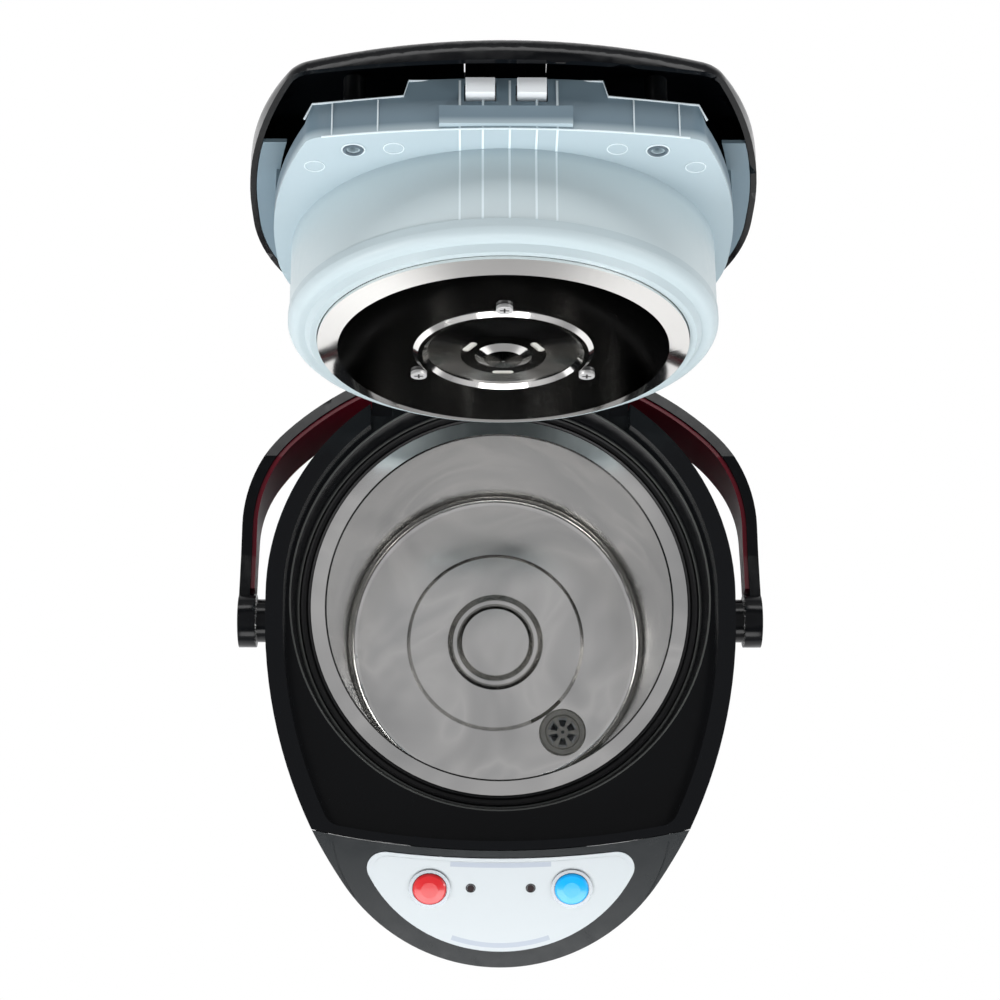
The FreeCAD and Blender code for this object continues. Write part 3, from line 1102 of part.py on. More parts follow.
# Steam vent, from the drum to the top of the lid
vent_cap = new_body("steam_vent")
cap_z = "(flange_z + crown_z - crown_r + sqrt(crown_r^2 - (vent_y - vent_r)^2))"
turned(vent_cap, "cap", [[
    ("0", f"{cap_z} - 5"), ("vent_r - 3.3", f"{cap_z} - 5"), ("vent_r - 3.3", cap_z), ("vent_r", cap_z),
    ("vent_r", f"{cap_z} + 1.2"), ("vent_r - 2", f"{cap_z} + 2"), ("0", f"{cap_z} + 2")]])
pocket(vent_cap, "slots", "XY", f"{cap_z} + 3", [rounded(
    "-7", f"{y} - 0.8", "7", f"{y} + 0.8", "0.7") for y in ("-4", "0", "4")], "2.6")
steam_tube = new_body("steam_tube")
turned(steam_tube, "tube", [[
    ("4", "flange_z + drum_z + inner_t"), ("5.5", "flange_z + drum_z + inner_t"), ("5.5", f"{cap_z} - 5"),
    ("4", f"{cap_z} - 5")]])
for piece in (vent_cap, steam_tube):
    swing_open(piece, "vent_y")

# Latch: two white hooks on a bar, and the release key on top of the lid
hooks = prism("hooks", "XY", "flange_z + hook_z0", [rectangle("hook_x0", "-hook_y", "hook_x1", "-inner_y + 6"),
                                                   rectangle("-hook_x1", "-hook_y", "-hook_x0", "-inner_y + 6")],
              "hook_z1 - hook_z0")
bar = prism("latch_bar_plate", "XY", "flange_z + hook_z0", [rectangle("-hook_x1", "-inner_y + 5", "hook_x1", "-inner_y + 21")],
            "hook_z1 - hook_z0 - 2")
latch_bar = fuse("latch_bar_solid", hooks, bar)
node("latch_bar", latch_bar)
swing_open(latch_bar)
key_stem = prism("key_stem", "XY", "flange_z + hook_z1 - 2", [rectangle("-8", "-key_y1 + 5", "8", "-key_y0 - 5")],
                 "crown_z - hook_z1 - 14")
key_pad = common("key_pad", prism("key_block", "XY", "flange_z + crown_z - 16", [rounded("-16", "-key_y1", "16", "-key_y0", "3")],
                                  "16"), dome("key_dome", "-0.5"))
release_key = fuse("release_key_solid", key_stem, key_pad)
node("release_key", release_key)
swing_open(release_key)


# Check and write every sub-part

doc.recompute()
for piece in nodes:
    bad = [o.Label for o in [piece] + piece.OutListRecursive if {"Invalid", "Error"} & set(o.State)]
    if bad or piece.Shape.isNull() or not piece.Shape.isValid() or not piece.Shape.Solids:
        raise ValueError(f"{piece.Label} is not sound: {bad}")
    piece.Shape.exportStep(f"parts/{piece.Label}.step")
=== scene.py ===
import bpy
import math
from mathutils import Matrix, Vector


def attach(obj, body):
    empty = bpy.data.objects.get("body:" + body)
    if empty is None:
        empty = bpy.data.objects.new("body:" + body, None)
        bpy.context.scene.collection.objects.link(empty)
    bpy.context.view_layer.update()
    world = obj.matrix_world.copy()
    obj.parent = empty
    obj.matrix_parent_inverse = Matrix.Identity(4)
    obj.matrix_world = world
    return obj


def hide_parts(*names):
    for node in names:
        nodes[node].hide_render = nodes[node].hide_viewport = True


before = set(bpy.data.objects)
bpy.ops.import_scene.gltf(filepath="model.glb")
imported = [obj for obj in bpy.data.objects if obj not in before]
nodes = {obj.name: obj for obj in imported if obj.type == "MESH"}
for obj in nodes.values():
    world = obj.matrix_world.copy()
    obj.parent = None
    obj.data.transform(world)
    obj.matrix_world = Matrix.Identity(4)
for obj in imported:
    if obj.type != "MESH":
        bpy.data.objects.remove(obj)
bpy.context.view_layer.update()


# Materials

def material(name, colour, metallic=0.0, roughness=0.4, **more):
    """A principled material; more sets further sockets by their names, with _ for a space."""
    mat = bpy.data.materials.new(name)
    mat.use_nodes = True
    shader = mat.node_tree.nodes["Principled BSDF"]
    shader.inputs["Base Color"].default_value = (*colour, 1)
    shader.inputs["Metallic"].default_value = metallic
    shader.inputs["Roughness"].default_value = roughness
    for socket, value in more.items():
        shader.inputs[socket.replace("_", " ")].default_value = value
    return mat


def grain(mat, scale, strength, distance=0.0002, stretch=(1, 1, 1), spread=None):
    """Fine relief from noise; spread also varies the roughness between two values."""
    tree = mat.node_tree
    shader = tree.nodes["Principled BSDF"]
    place = tree.nodes.new("ShaderNodeTexCoord")
    mapping = tree.nodes.new("ShaderNodeMapping")
    mapping.inputs["Scale"].default_value = stretch
    noise = tree.nodes.new("ShaderNodeTexNoise")
    noise.inputs["Scale"].default_value = scale
    noise.inputs["Detail"].default_value = 4
    bump = tree.nodes.new("ShaderNodeBump")
    bump.inputs["Strength"].default_value = strength
    bump.inputs["Distance"].default_value = distance
    tree.links.new(place.outputs["Object"], mapping.inputs["Vector"])
    tree.links.new(mapping.outputs["Vector"], noise.inputs["Vector"])
    tree.links.new(noise.outputs["Fac"], bump.inputs["Height"])
    tree.links.new(bump.outputs["Normal"], shader.inputs["Normal"])
    if spread:
        low, high = spread
        remap = tree.nodes.new("ShaderNodeMapRange")
        remap.inputs["From Min"].default_value = 0.3
        remap.inputs["From Max"].default_value = 0.7
        remap.inputs["To Min"].default_value = low
        remap.inputs["To Max"].default_value = high
        tree.links.new(noise.outputs["Fac"], remap.inputs["Value"])
        tree.links.new(remap.outputs["Result"], shader.inputs["Roughness"])
    return mat


def math_node(tree, operation, *values):
    """A math node whose inputs are sockets or numbers, as its output socket."""
    node = tree.nodes.new("ShaderNodeMath")
    node.operation = operation
    for i, value in enumerate(values):
        if isinstance(value, bpy.types.NodeSocket):
            tree.links.new(value, node.inputs[i])
        else:
            node.inputs[i].default_value = value
    return node.outputs["Value"]


def colour_ramp(tree, socket, stops):
    """A colour ramp over socket, as its output socket; stops are (share, colour)."""
    ramp = tree.nodes.new("ShaderNodeValToRGB")
    while len(ramp.color_ramp.elements) < len(stops):
        ramp.color_ramp.elements.new(0.5)
    for element, (share, colour) in zip(ramp.color_ramp.elements, stops):
        element.position = share
        element.color = (*colour, 1)
    tree.links.new(socket, ramp.inputs["Fac"])
    return ramp.outputs["Color"]


def choose(tree, factor, first, second):
    """A mix of a colour socket and a fixed colour, as its output socket."""
    mix = tree.nodes.new("ShaderNodeMix")
    mix.data_type = "RGBA"
    tree.links.new(factor, mix.inputs["Factor"])
    tree.links.new(first, mix.inputs["A"])
    mix.inputs["B"].default_value = (*second, 1)
    return mix.outputs["Result"]


gloss_black = grain(material("gloss_black", (0.0025, 0.003, 0.004), 0, 0.15, Specular_IOR_Level=0.2),
                    180, 0.03, spread=(0.12, 0.2))
satin_black = grain(material("satin_black", (0.012, 0.013, 0.015), 0, 0.42), 900, 0.25, spread=(0.36, 0.48))
nose_gloss = grain(material("nose_gloss", (0.005, 0.008, 0.01), 0, 0.2, Specular_IOR_Level=0.3),
                   160, 0.03, spread=(0.18, 0.28))
rubber = grain(material("rubber", (0.012, 0.012, 0.013), 0, 0.55), 700, 0.2)
zinc = grain(material("zinc", (0.62, 0.62, 0.62), 1, 0.25), 500, 0.1, spread=(0.2, 0.32))
shell = grain(material("shell", (0.006, 0.007, 0.008), 0.2, 0.2, Coat_Weight=0.7, Coat_Roughness=0.06),
              140, 0.04)
steel = grain(material("steel", (0.74, 0.73, 0.71), 1, 0.13), 30, 0.03,
              stretch=(1, 1, 14), spread=(0.1, 0.17))
plate_steel = grain(material("plate_steel", (0.72, 0.71, 0.69), 1, 0.1), 40, 0.02, spread=(0.07, 0.12))
frosted = grain(material("frosted", (0.5, 0.6, 0.66), 0, 0.35, Specular_IOR_Level=0.4), 260, 0.05,
                spread=(0.3, 0.42))
silicone = grain(material("silicone", (0.5, 0.59, 0.62), 0, 0.38, Specular_IOR_Level=0.3), 240, 0.05,
                 spread=(0.32, 0.44))
white = grain(material("white", (0.82, 0.86, 0.88), 0, 0.3), 300, 0.05)
filter_grey = grain(material("filter_grey", (0.62, 0.62, 0.58), 0.1, 0.35), 500, 0.1)
label_silver = grain(material("label_silver", (0.5, 0.54, 0.56), 0.25, 0.42), 900, 0.06, spread=(0.34, 0.42))
chrome = grain(material("chrome", (0.3, 0.32, 0.34), 1, 0.2), 300, 0.04)
bright_zinc = grain(material("bright_zinc", (0.85, 0.85, 0.85), 0.5, 0.35), 500, 0.08)
red = grain(material("red", (0.62, 0.015, 0.02), 0, 0.25, Coat_Weight=0.5), 300, 0.04)
blue = grain(material("blue", (0.0, 0.42, 0.95), 0, 0.25, Coat_Weight=0.5), 300, 0.04)
dark_red = grain(material("dark_red", (0.13, 0.003, 0.012), 0, 0.3, Specular_IOR_Level=0.2), 300, 0.05)
lens = grain(material("lens", (0.012, 0.002, 0.003), 0, 0.2, Specular_IOR_Level=0.2), 300, 0.03)
lamp = material("lamp", (0.4, 0.05, 0.04), 0, 0.3)
aluminium = grain(material("aluminium", (0.7, 0.7, 0.7), 1, 0.35), 400, 0.15)
board = grain(material("board", (0.02, 0.12, 0.05), 0, 0.35), 500, 0.1)
phenolic = grain(material("phenolic", (0.06, 0.04, 0.03), 0, 0.5), 600, 0.2)
sleeve = grain(material("sleeve", (0.75, 0.73, 0.66), 0, 0.7), 900, 0.3)
brass = grain(material("brass", (0.66, 0.6, 0.42), 1, 0.25), 400, 0.08)
window = material("window", (0.7, 0.76, 0.78), 0, 0.08, Transmission_Weight=0.8)

# Painted highlight: pale lines along the ribs, marks, edges and screw rims of the lid's inner moulding
painted_highlight = grain(material("painted_edge_highlight", (0.78, 0.88, 0.92), 0, 0.35), 300, 0.05)
well = grain(material("screw_well", (0.1, 0.14, 0.17), 0, 0.4), 300, 0.05)
# Painted shade: dark rings and plates put where recesses are, round the lamps and in the screws' crosses
painted_recess_shade = grain(material("painted_recess_shade", (0.03, 0.03, 0.03), 0.5, 0.5), 300, 0.1)
edge_band = grain(material("edge_band", (0.36, 0.4, 0.46), 0.3, 0.35), 500, 0.05)
# Painted highlight: grey for the rings on the ledges of the pot's mouth
ledge = grain(material("ledge", (0.1, 0.105, 0.1), 0, 0.35), 300, 0.05)

# The lid's hinge and the pot's flange, in metres, and how the closed lid swings to where it stands
HINGE = Vector((0, 0.1089, 0.3013))
FLANGE = 0.262
LID = Matrix.Translation(HINGE) @ Matrix.Rotation(math.radians(-104.2), 4, "X") @ Matrix.Translation(-HINGE)
LID_UP = LID.to_3x3() @ Vector((0, 0, 1))


def lid_height(tree):
    """Height above the flange in the closed lid, in metres, as a socket."""
    place = tree.nodes.new("ShaderNodeTexCoord")
    dot = tree.nodes.new("ShaderNodeVectorMath")
    dot.operation = "DOT_PRODUCT"
    dot.inputs[1].default_value = LID_UP
    tree.links.new(place.outputs["Object"], dot.inputs[0])
    return math_node(tree, "ADD", dot.outputs["Value"], -LID_UP.dot(LID @ Vector((0, 0, FLANGE))))


def banded(mat, socket, low, high, stops):
    """Colours by a value between low and high; stops are (share, colour)."""
    tree = mat.node_tree
    scale = tree.nodes.new("ShaderNodeMapRange")
    scale.inputs["From Min"].default_value = low
    scale.inputs["From Max"].default_value = high
    tree.links.new(socket, scale.inputs["Value"])
    colour = colour_ramp(tree, scale.outputs["Result"], stops)
    tree.links.new(colour, tree.nodes["Principled BSDF"].inputs["Base Color"])


# The lid's inner moulding: pale drum and tray, darker where its wall is thin
banded(frosted, lid_height(frosted.node_tree), 0, 0.07, [
    (0.0, (0.6, 0.68, 0.7)), (0.5, (0.52, 0.62, 0.65)), (0.575, (0.42, 0.52, 0.57)),
    (0.62, (0.14, 0.21, 0.26)), (0.9, (0.2, 0.28, 0.33))])

# Its screw pillars, to each side, are dark where they stand above the tray's wall
PILLAR_X, PILLAR_REACH, WALL_TOP = 0.062, 0.012, 0.0556
tree = frosted.node_tree
tint = tree.nodes["Principled BSDF"].inputs["Base Color"].links[0].from_socket
place = tree.nodes.new("ShaderNodeTexCoord")
split = tree.nodes.new("ShaderNodeSeparateXYZ")
tree.links.new(place.outputs["Object"], split.inputs["Vector"])
side = math_node(tree, "ABSOLUTE", split.outputs["X"])
near = math_node(tree, "COMPARE", side, PILLAR_X, PILLAR_REACH)
above = math_node(tree, "GREATER_THAN", lid_height(tree), WALL_TOP)
dark = choose(tree, math_node(tree, "MULTIPLY", near, above), tint, (0.004, 0.005, 0.006))
tree.links.new(dark, tree.nodes["Principled BSDF"].inputs["Base Color"])

# The lid plate is polished: its flat areas are painted dark and its pressed slopes bright, as a painted
# reflection
tree = plate_steel.node_tree
facing = tree.nodes.new("ShaderNodeNewGeometry")
across = tree.nodes.new("ShaderNodeVectorMath")
across.operation = "DOT_PRODUCT"
across.inputs[1].default_value = -LID_UP
tree.links.new(facing.outputs["True Normal"], across.inputs[0])
banded(plate_steel, across.outputs["Value"], 0.9, 1.0, [
    (0.0, (0.8, 0.79, 0.77)), (0.93, (0.7, 0.69, 0.67)), (0.985, (0.035, 0.035, 0.034))])

# Soft light and dark streaks painted into the inner pot's colour: partly polish marks, partly painted
# reflection
tree = steel.node_tree
place = tree.nodes.new("ShaderNodeTexCoord")
spread = tree.nodes.new("ShaderNodeMapping")
spread.inputs["Scale"].default_value = (1, 1, 0.35)
tree.links.new(place.outputs["Object"], spread.inputs["Vector"])
polish_and_reflection_streaks = tree.nodes.new("ShaderNodeTexNoise")
polish_and_reflection_streaks.inputs["Scale"].default_value = 14
polish_and_reflection_streaks.inputs["Detail"].default_value = 2
polish_and_reflection_streaks.inputs["Distortion"].default_value = 1.2
tree.links.new(spread.outputs["Vector"], polish_and_reflection_streaks.inputs["Vector"])
banded(steel, polish_and_reflection_streaks.outputs["Fac"], 0.3, 0.7, [
    (0.0, (0.62, 0.62, 0.61)), (0.4, (0.74, 0.735, 0.72)), (0.62, (0.84, 0.83, 0.81)),
    (0.9, (0.7, 0.7, 0.69))])

FINISH = {
    satin_black: "base_plate base_skirt gauge_frame nose_base power_inlet hinge_arm tact_switches",
    gloss_black: "collar lid_cover handle_bail steam_vent release_key",
    nose_gloss: "nose_cover",
    rubber: "rubber_feet pot_gasket",
    zinc: "base_screws hinge_pin handle_pivots heater_clamp pump_motor cover_screws",
    bright_zinc: "plate_screws",
    shell: "outer_shell",
    steel: "inner_pot",
    plate_steel: "lid_plate",
    frosted: "lid_inner",
    silicone: "drum_seal riser_tube spout_pipe steam_tube",
    white: "latch_bar outlet_fitting pump_housing pump_rotor",
    filter_grey: "drain_filter",
    label_silver: "label_plate",
    chrome: "button_bezels",
    red: "heat_button",
    blue: "dispense_button",
    dark_red: "handle_liner",
    lens: "led_lenses",
    lamp: "indicator_lamps",
    aluminium: "heater_plate",
    board: "power_board control_board",
    phenolic: "thermostat",
    sleeve: "thermal_fuse",
    brass: "inlet_pins",
    window: "level_window",
}
for mat, names in FINISH.items():
    for name in names.split():
        nodes[name].data.materials.clear()
        nodes[name].data.materials.append(mat)


# Shapes that follow the CAD pieces, in millimetres

SIDES = 6  # of a wire's section


def mesh(name, points, faces, mat, body, matrix=Matrix()):
    """A closed mesh in millimetres, placed by matrix and carried by a body."""
    data = bpy.data.meshes.new(name)
    data.from_pydata([matrix @ (Vector(p) / 1000) for p in points], [], faces)
    data.materials.append(mat)
    obj = bpy.data.objects.new(name, data)
    bpy.context.scene.collection.objects.link(obj)
    data.shade_smooth()
    data.set_sharp_from_angle(angle=math.radians(30))
    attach(obj, body)
    return obj


def plate_mesh(name, outline, low, high, mat, body, matrix=Matrix()):
    """A plate between two heights over a flat outline."""
    n = len(outline)
    points = [(x, y, low) for x, y in outline] + [(x, y, high) for x, y in outline]
    faces = [tuple(reversed(range(n))), tuple(range(n, 2 * n))]
    faces += [(i, (i + 1) % n, n + (i + 1) % n, n + i) for i in range(n)]
    return mesh(name, points, faces, mat, body, matrix)


def ring_mesh(name, x, y, z, radius, thick, mat, body, matrix=Matrix(), count=40):
    """A round wire laid flat."""
    points, faces = [], []
    for i in range(count):
        a = 2 * math.pi * i / count
        for j in range(SIDES):
            b = 2 * math.pi * j / SIDES
            r = radius + thick * math.cos(b)
            points.append((x + r * math.cos(a), y + r * math.sin(a), z + thick * math.sin(b)))
            k, m = (i + 1) % count * SIDES, (j + 1) % SIDES
            faces.append((i * SIDES + j, k + j, k + m, i * SIDES + m))
    return mesh(name, points, faces, mat, body, matrix)


def strip(name, path, width, thick, mat, body, matrix=Matrix()):
    """A flat bar along a path of points in a plane of constant x; it is width wide along x."""
    points, faces = [], []
    for (x, y, z) in path:
        points += [(x - width / 2, y, z), (x + width / 2, y, z)]
    n = len(points)
    for i, (x, y, z) in enumerate(path):
        a, b = path[max(i - 1, 0)], path[min(i + 1, len(path) - 1)]
        dy, dz = b[1] - a[1], b[2] - a[2]
        reach = math.hypot(dy, dz) or 1
        oy, oz = dz / reach * thick, -dy / reach * thick
        points += [(x - width / 2, y + oy, z + oz), (x + width / 2, y + oy, z + oz)]
    for i in range(len(path) - 1):
        a = 2 * i
        faces += [(a, a + 1, a + 3, a + 2), (n + a, n + a + 2, n + a + 3, n + a + 1),
                  (a, a + 2, n + a + 2, n + a), (a + 1, n + a + 1, n + a + 3, a + 3)]
    last = n - 2
    faces += [(0, n, n + 1, 1), (last, last + 1, n + last + 1, n + last)]
    return mesh(name, points, faces, mat, body, matrix)


def wire(name, path, radius, mat, body, matrix=Matrix()):
    """A round wire along a path of points."""
    points, faces = [], []
    for i, place in enumerate(path):
        ahead = Vector(path[min(i + 1, len(path) - 1)]) - Vector(path[max(i - 1, 0)])
        turn = ahead.to_track_quat("Z", "Y")
        for j in range(SIDES):
            a = 2 * math.pi * j / SIDES
            points.append(Vector(place) + turn @ Vector((radius * math.cos(a), radius * math.sin(a), 0)))
    for i in range(len(path) - 1):
        for j in range(SIDES):
            k = (j + 1) % SIDES
            first, after = SIDES * i, SIDES * (i + 1)
            faces.append((first + j, first + k, after + k, after + j))
    last = SIDES * (len(path) - 1)
    faces += [tuple(reversed(range(SIDES))), tuple(range(last, last + SIDES))]
    return mesh(name, points, faces, mat, body, matrix)


def on_arc(centre, radius, start, end, count):
    """Points on an arc about a centre (x, y), with angles in degrees."""
    angles = [math.radians(start + (end - start) * i / count) for i in range(count + 1)]
    return [(centre[0] + radius * math.cos(a), centre[1] + radius * math.sin(a)) for a in angles]


# Frames: on the flange, on the closed lid's flange plane, and on the panel's slope with y up the slope
MOUTH = Matrix.Translation((0, 0, FLANGE))
CLOSED = LID @ MOUTH
SLOPE = Matrix.Translation((0, -0.1156, FLANGE + 0.0565)) @ Matrix.Rotation(math.radians(26), 4, "X")


# Label: a half-moon between two arcs, each with its centre and radius
UPPER, UPPER_R = (0, 386.0), 390
LOWER, LOWER_R = (0, 14.5), 65


def half_moon(inset, corner):
    """The label's outline, inset from its edge, with corners of a given radius."""
    r1, r2 = UPPER_R + inset, LOWER_R - inset
    a, b = r1 + corner, r2 - corner
    v = ((b * b - a * a) + UPPER[1]**2 - LOWER[1]**2) / (2 * (UPPER[1] - LOWER[1]))
    x = math.sqrt(b * b - (v - LOWER[1])**2)
    low = math.degrees(math.atan2(v - LOWER[1], x))
    high = math.degrees(math.atan2(v - UPPER[1], x))
    points = on_arc(LOWER, r2, 180 - low - 360, low, 48)
    points += on_arc((x, v), corner, low, high + 180, 10)[1:]
    points += on_arc(UPPER, r1, high, -180 - high, 40)[1:]
    points += on_arc((-x, v), corner, -high, 180 - low, 10)[1:-1]
    return points


label = plate_mesh("label", half_moon(0, 8), 0.0, 0.5, label_silver, "pot", SLOPE)
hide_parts("label_plate")
plate_mesh("label_face", half_moon(1.8, 7), 0.5, 0.6, label_silver, "pot", SLOPE)
BANDS = [("band_top", UPPER, UPPER_R + 3.2, 3.3), ("band_low", LOWER, LOWER_R - 3.2, 21)]
for name, centre, radius, half in BANDS:
    outline = on_arc(centre, radius - 1.2, -90 - half, -90 + half, 16)
    outline += on_arc(centre, radius + 1.2, -90 + half, -90 - half, 16)
    plate_mesh(f"label_{name}", outline, 0.55, 0.62, edge_band, "pot", SLOPE)
# Rings of painted shade round the lamps
for i, x in enumerate((-13.5, 13.5)):
    ring_mesh(f"lamp_ring_{i}", x, -18.5, 0.6, 2.0, 0.25, painted_recess_shade, "pot", SLOPE)

# Creases of the nose, and the seal of its joint with the collar
JOINT, JOINT_R = (0, 274.4), 390
for name, start, end in (("left", -150, -172), ("right", -30, -8)):
    crease = [(x, v, 0) for x, v in on_arc(LOWER, 76, start, end, 12)]
    wire(f"nose_crease_{name}", crease, 0.3, nose_gloss, "pot", SLOPE)
back = [v.co * 1000 for v in nodes["nose_cover"].data.vertices if v.co.z > FLANGE + 0.02]
back = [abs(p.x) for p in back if abs(math.hypot(p.x, p.y - JOINT[1]) - JOINT_R - 0.3) < 0.6]
half = math.degrees(math.asin((max(back) - 0.8) / (JOINT_R + 0.2)))
seal = on_arc(JOINT, JOINT_R + 0.05, -90 - half, -90 + half, 40)
seal += on_arc(JOINT, JOINT_R + 0.25, -90 + half, -90 - half, 40)
plate_mesh("nose_seal", seal, 22, 46, rubber, "pot", MOUTH)

# Painted highlights: grey rings along the ledges of the pot's mouth
for name, radius, height in (("mouth_ring", 97.6, 33.6), ("seat_ring", 95.9, 0.4)):
    ring_mesh(name, 0, 0, height, radius, 0.5, ledge, "pot", MOUTH, count=120)

# Lid: rib lines over drum, tray and wall and marks on the tray, in painted highlight; crosses of the screws,
# in painted shade; inserts in the slots
DRUM_R, TRAY, WALL_Y, WALL_BOW, SCREWS_R = 90.1, 39, -105.2, 770, 41.5
for i, x in enumerate((-18, -9, 1.5, 12, 20)):
    front = -math.sqrt(DRUM_R**2 - x * x)
    drum = [(x, front - 0.05, z) for z in (6, 20, TRAY - 0.1)]
    tray = [(x, y, TRAY - 0.05) for y in (front - 0.4, WALL_Y + 0.6)]
    wall = [(x, WALL_Y + 0.1, z) for z in (TRAY + 0.4, 48, 61)]
    strip(f"drum_rib_{i}", drum, 0.9, 0.35, painted_highlight, "lid", CLOSED)
    strip(f"tray_rib_{i}", tray, 0.9, 0.35, painted_highlight, "lid", CLOSED)
    strip(f"wall_rib_{i}", wall, 0.9, 0.3, painted_highlight, "lid", CLOSED)
for i, (x, y) in enumerate(((-76, -76), (-44, -90), (44, -90), (76, -76))):
    ring_mesh(f"tray_mark_{i}", x, y, TRAY + 0.2, 4, 0.25, painted_highlight, "lid", CLOSED)
# The screws' crosses are dark plates of painted shade
for i, (x, y) in enumerate(on_arc((0, 0), SCREWS_R, -90, 150, 2)):
    for j, (w, d) in enumerate(((1.9, 0.35), (0.35, 1.9))):
        cross = [(x - w, y - d), (x + w, y - d), (x + w, y + d), (x - w, y + d)]
        plate_mesh(f"screw_cross_{i}_{j}", cross, -7.68, -7.55, painted_recess_shade, "lid", CLOSED)
for i, angle in enumerate((0, 120, 240)):
    turned = CLOSED @ Matrix.Rotation(math.radians(angle), 4, "Z")
    insert = [(-4.3, 15), (4.3, 15), (4.3, 17.6), (-4.3, 17.6)]
    plate_mesh(f"slot_insert_{i}", insert, -7.2, -6.9, filter_grey, "lid", turned)


def wall_at(x, z):
    """A point on the front of the tray's wall, which is bowed."""
    return (x, x * x / WALL_BOW + WALL_Y, z)


# Painted highlights along the tray wall's stepped top edge, its foot and its upright lines
steps = [(-79, 48), (-76, 54.5), (-40, 55), (-38, 61.8), (38, 61.8), (40, 55), (76, 54.5), (79, 48)]
wire("wall_edge", [wall_at(x, z) for x, z in steps], 0.45, painted_highlight, "lid", CLOSED)
wire("wall_foot", [wall_at(x, TRAY + 0.3) for x in range(-72, 73, 4)], 0.4, painted_highlight, "lid", CLOSED)
for i, x in enumerate((-68, -50, 50, 68)):
    wire(f"wall_line_{i}", [wall_at(x, TRAY + 0.4), wall_at(x, 54)], 0.3, painted_highlight, "lid", CLOSED)
# Round each screw, a dark well and a rim of painted highlight
screws = [CLOSED.inverted() @ v.co * 1000 for v in nodes["cover_screws"].data.vertices]
for i, side in enumerate((-1, 1)):
    screw = [p for p in screws if p.x * side > 0]
    middle = sum(screw, Vector()) / len(screw)
    ring_mesh(f"screw_well_{i}", middle.x, middle.y, TRAY, 3.4, 0.7, well, "lid", CLOSED)
    ring_mesh(f"screw_rim_{i}", middle.x, middle.y, TRAY + 0.1, 4.5, 0.35, painted_highlight, "lid", CLOSED)


# Rounded edges on the mouldings

def weld(name, distance):
    """Join a node's meeting corners, closer than distance in millimetres."""
    join = nodes[name].modifiers.new("weld", "WELD")
    join.merge_threshold = distance / 1000


def soften(name, width):
    """Round a node's sharp edges; width is in millimetres."""
    weld(name, 0.01)
    bevel = nodes[name].modifiers.new("bevel", "BEVEL")
    bevel.width = width / 1000
    bevel.segments = 3
    bevel.limit_method = "ANGLE"
    bevel.angle_limit = math.radians(50)
    bevel.harden_normals = False


for name, width in {"handle_bail": 1.2, "plate_screws": 0.6, "latch_bar": 0.5}.items():
    soften(name, width)

# The dome's normals are taken from its faces, which clears a mark at its pole
weld("lid_cover", 0.05)
even = nodes["lid_cover"].modifiers.new("even", "WEIGHTED_NORMAL")
even.keep_sharp = True


# Camera, floor and light

def camera(x, y, z, pitch, roll, yaw, focal):
    """A pinhole that looks down on the pot: metres, radians, and pixels of a 1000-pixel image for focal."""
    forward = Vector((0, math.sin(pitch), -math.cos(pitch)))
    up = Vector((0, math.cos(pitch), math.sin(pitch)))
    right = Vector((1, 0, 0))
    turn = Matrix.Rotation(yaw, 3, "Z")
    forward, up, right = turn @ forward, turn @ up, turn @ right
    right, up = (right * math.cos(roll) + up * math.sin(roll), up * math.cos(roll) - right * math.sin(roll))
    data = bpy.data.cameras.new("camera")
    data.sensor_width = 36
    data.lens = focal * 36 / 1000
    data.clip_end = 20
    obj = bpy.data.objects.new("camera", data)
    obj.matrix_world = Matrix.Translation((x, y, z)) @ Matrix((right, up, -forward)).transposed().to_4x4()
    bpy.context.scene.collection.objects.link(obj)
    bpy.context.scene.camera = obj


camera(-0.012756, -0.116688, 1.437989, 0.1421, 0.0782, -0.0777, 2472.88)

bpy.ops.mesh.primitive_plane_add(size=60, location=(0, 0, 0))
floor = bpy.context.object
floor.name = "floor"

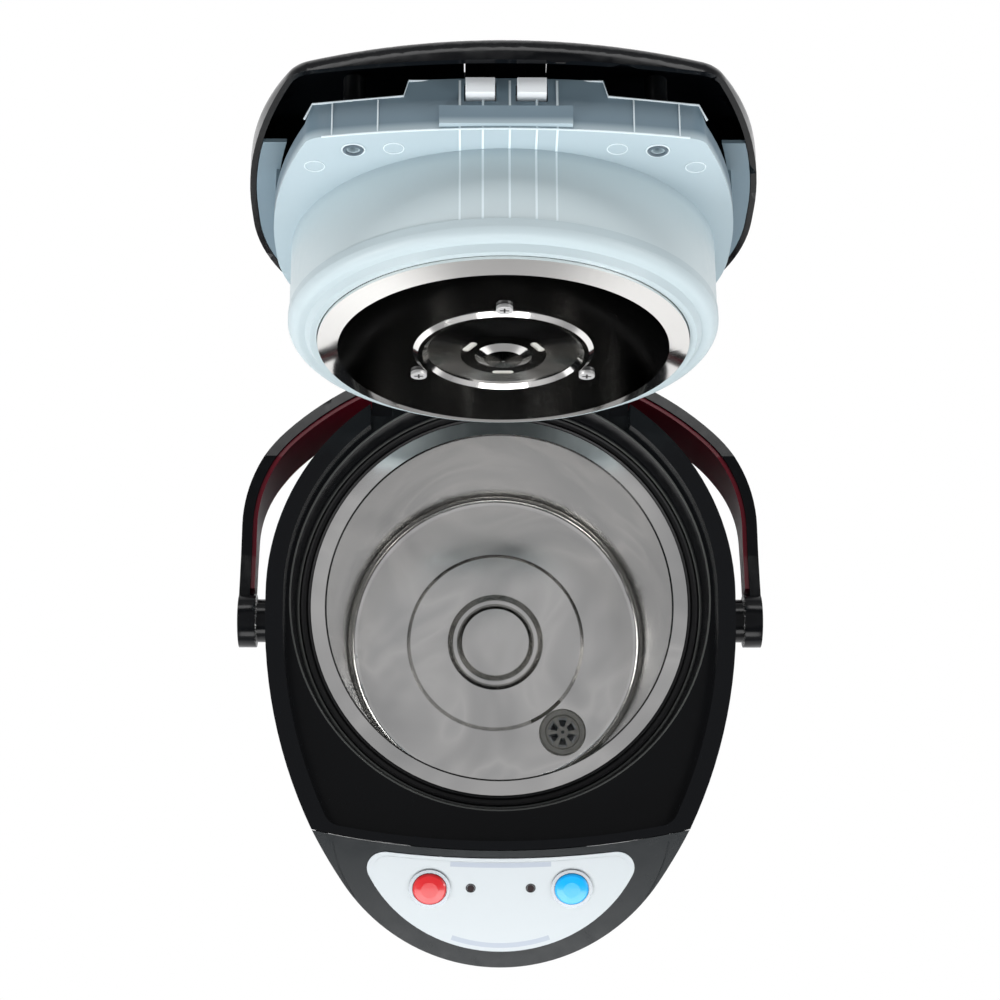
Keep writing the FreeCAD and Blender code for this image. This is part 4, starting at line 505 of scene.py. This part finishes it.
# The floor is plain white to the camera, and paper to everything else
paper = material("paper", (0.9, 0.9, 0.9), 0, 0.8)
tree = paper.node_tree
path = tree.nodes.new("ShaderNodeLightPath")
glow = tree.nodes.new("ShaderNodeEmission")
glow.inputs["Color"].default_value = (1, 1, 1, 1)
glow.inputs["Strength"].default_value = 1.0
blend = tree.nodes.new("ShaderNodeMixShader")
tree.links.new(path.outputs["Is Camera Ray"], blend.inputs["Fac"])
tree.links.new(tree.nodes["Principled BSDF"].outputs["BSDF"], blend.inputs[1])
tree.links.new(glow.outputs["Emission"], blend.inputs[2])
tree.links.new(blend.outputs["Shader"], tree.nodes["Material Output"].inputs["Surface"])
floor.data.materials.append(paper)


def softbox(name, place, target, width, height, power):
    """A rectangular lamp that faces target; metres and watts."""
    data = bpy.data.lights.new(name, "AREA")
    data.shape = "RECTANGLE"
    data.size = width
    data.size_y = height
    data.energy = power
    obj = bpy.data.objects.new(name, data)
    place, target = Vector(place), Vector(target)
    turn = (target - place).to_track_quat("-Z", "Y").to_matrix().to_4x4()
    obj.matrix_world = Matrix.Translation(place) @ turn
    bpy.context.scene.collection.objects.link(obj)


softbox("left_box", (-1.1, -0.9, 1.0), (0, 0, 0.3), 0.5, 1.0, 16)
softbox("right_box", (1.2, -0.5, 1.0), (0, 0, 0.3), 0.4, 1.0, 9)
softbox("back_box", (0, 1.4, 1.2), (0, 0, 0.3), 1.6, 0.4, 10)
softbox("lid_box", (0, -1.3, 0.9), (0, 0.1, 0.4), 1.0, 0.5, 7)

# A studio of light and dark bands by height; the camera sees it white
LEVELS = [(0.0, 0.4), (0.25, 0.65), (0.5, 0.6), (0.64, 0.1), (0.78, 0.16), (0.9, 0.5), (1.0, 0.42)]
world = bpy.data.worlds.new("studio")
world.use_nodes = True
sky = world.node_tree
direction = sky.nodes.new("ShaderNodeTexCoord")
parts = sky.nodes.new("ShaderNodeSeparateXYZ")
sky.links.new(direction.outputs["Generated"], parts.inputs["Vector"])
greys = [(share, (level, level, level * 1.02)) for share, level in LEVELS]
bands = colour_ramp(sky, parts.outputs["Z"], greys)
sight = sky.nodes.new("ShaderNodeLightPath")
seen = choose(sky, sight.outputs["Is Camera Ray"], bands, (1, 1, 1))
sky.links.new(seen, sky.nodes["Background"].inputs["Color"])
sky.nodes["Background"].inputs["Strength"].default_value = 1.0
bpy.context.scene.world = world
bpy.context.scene.view_settings.view_transform = "Standard"
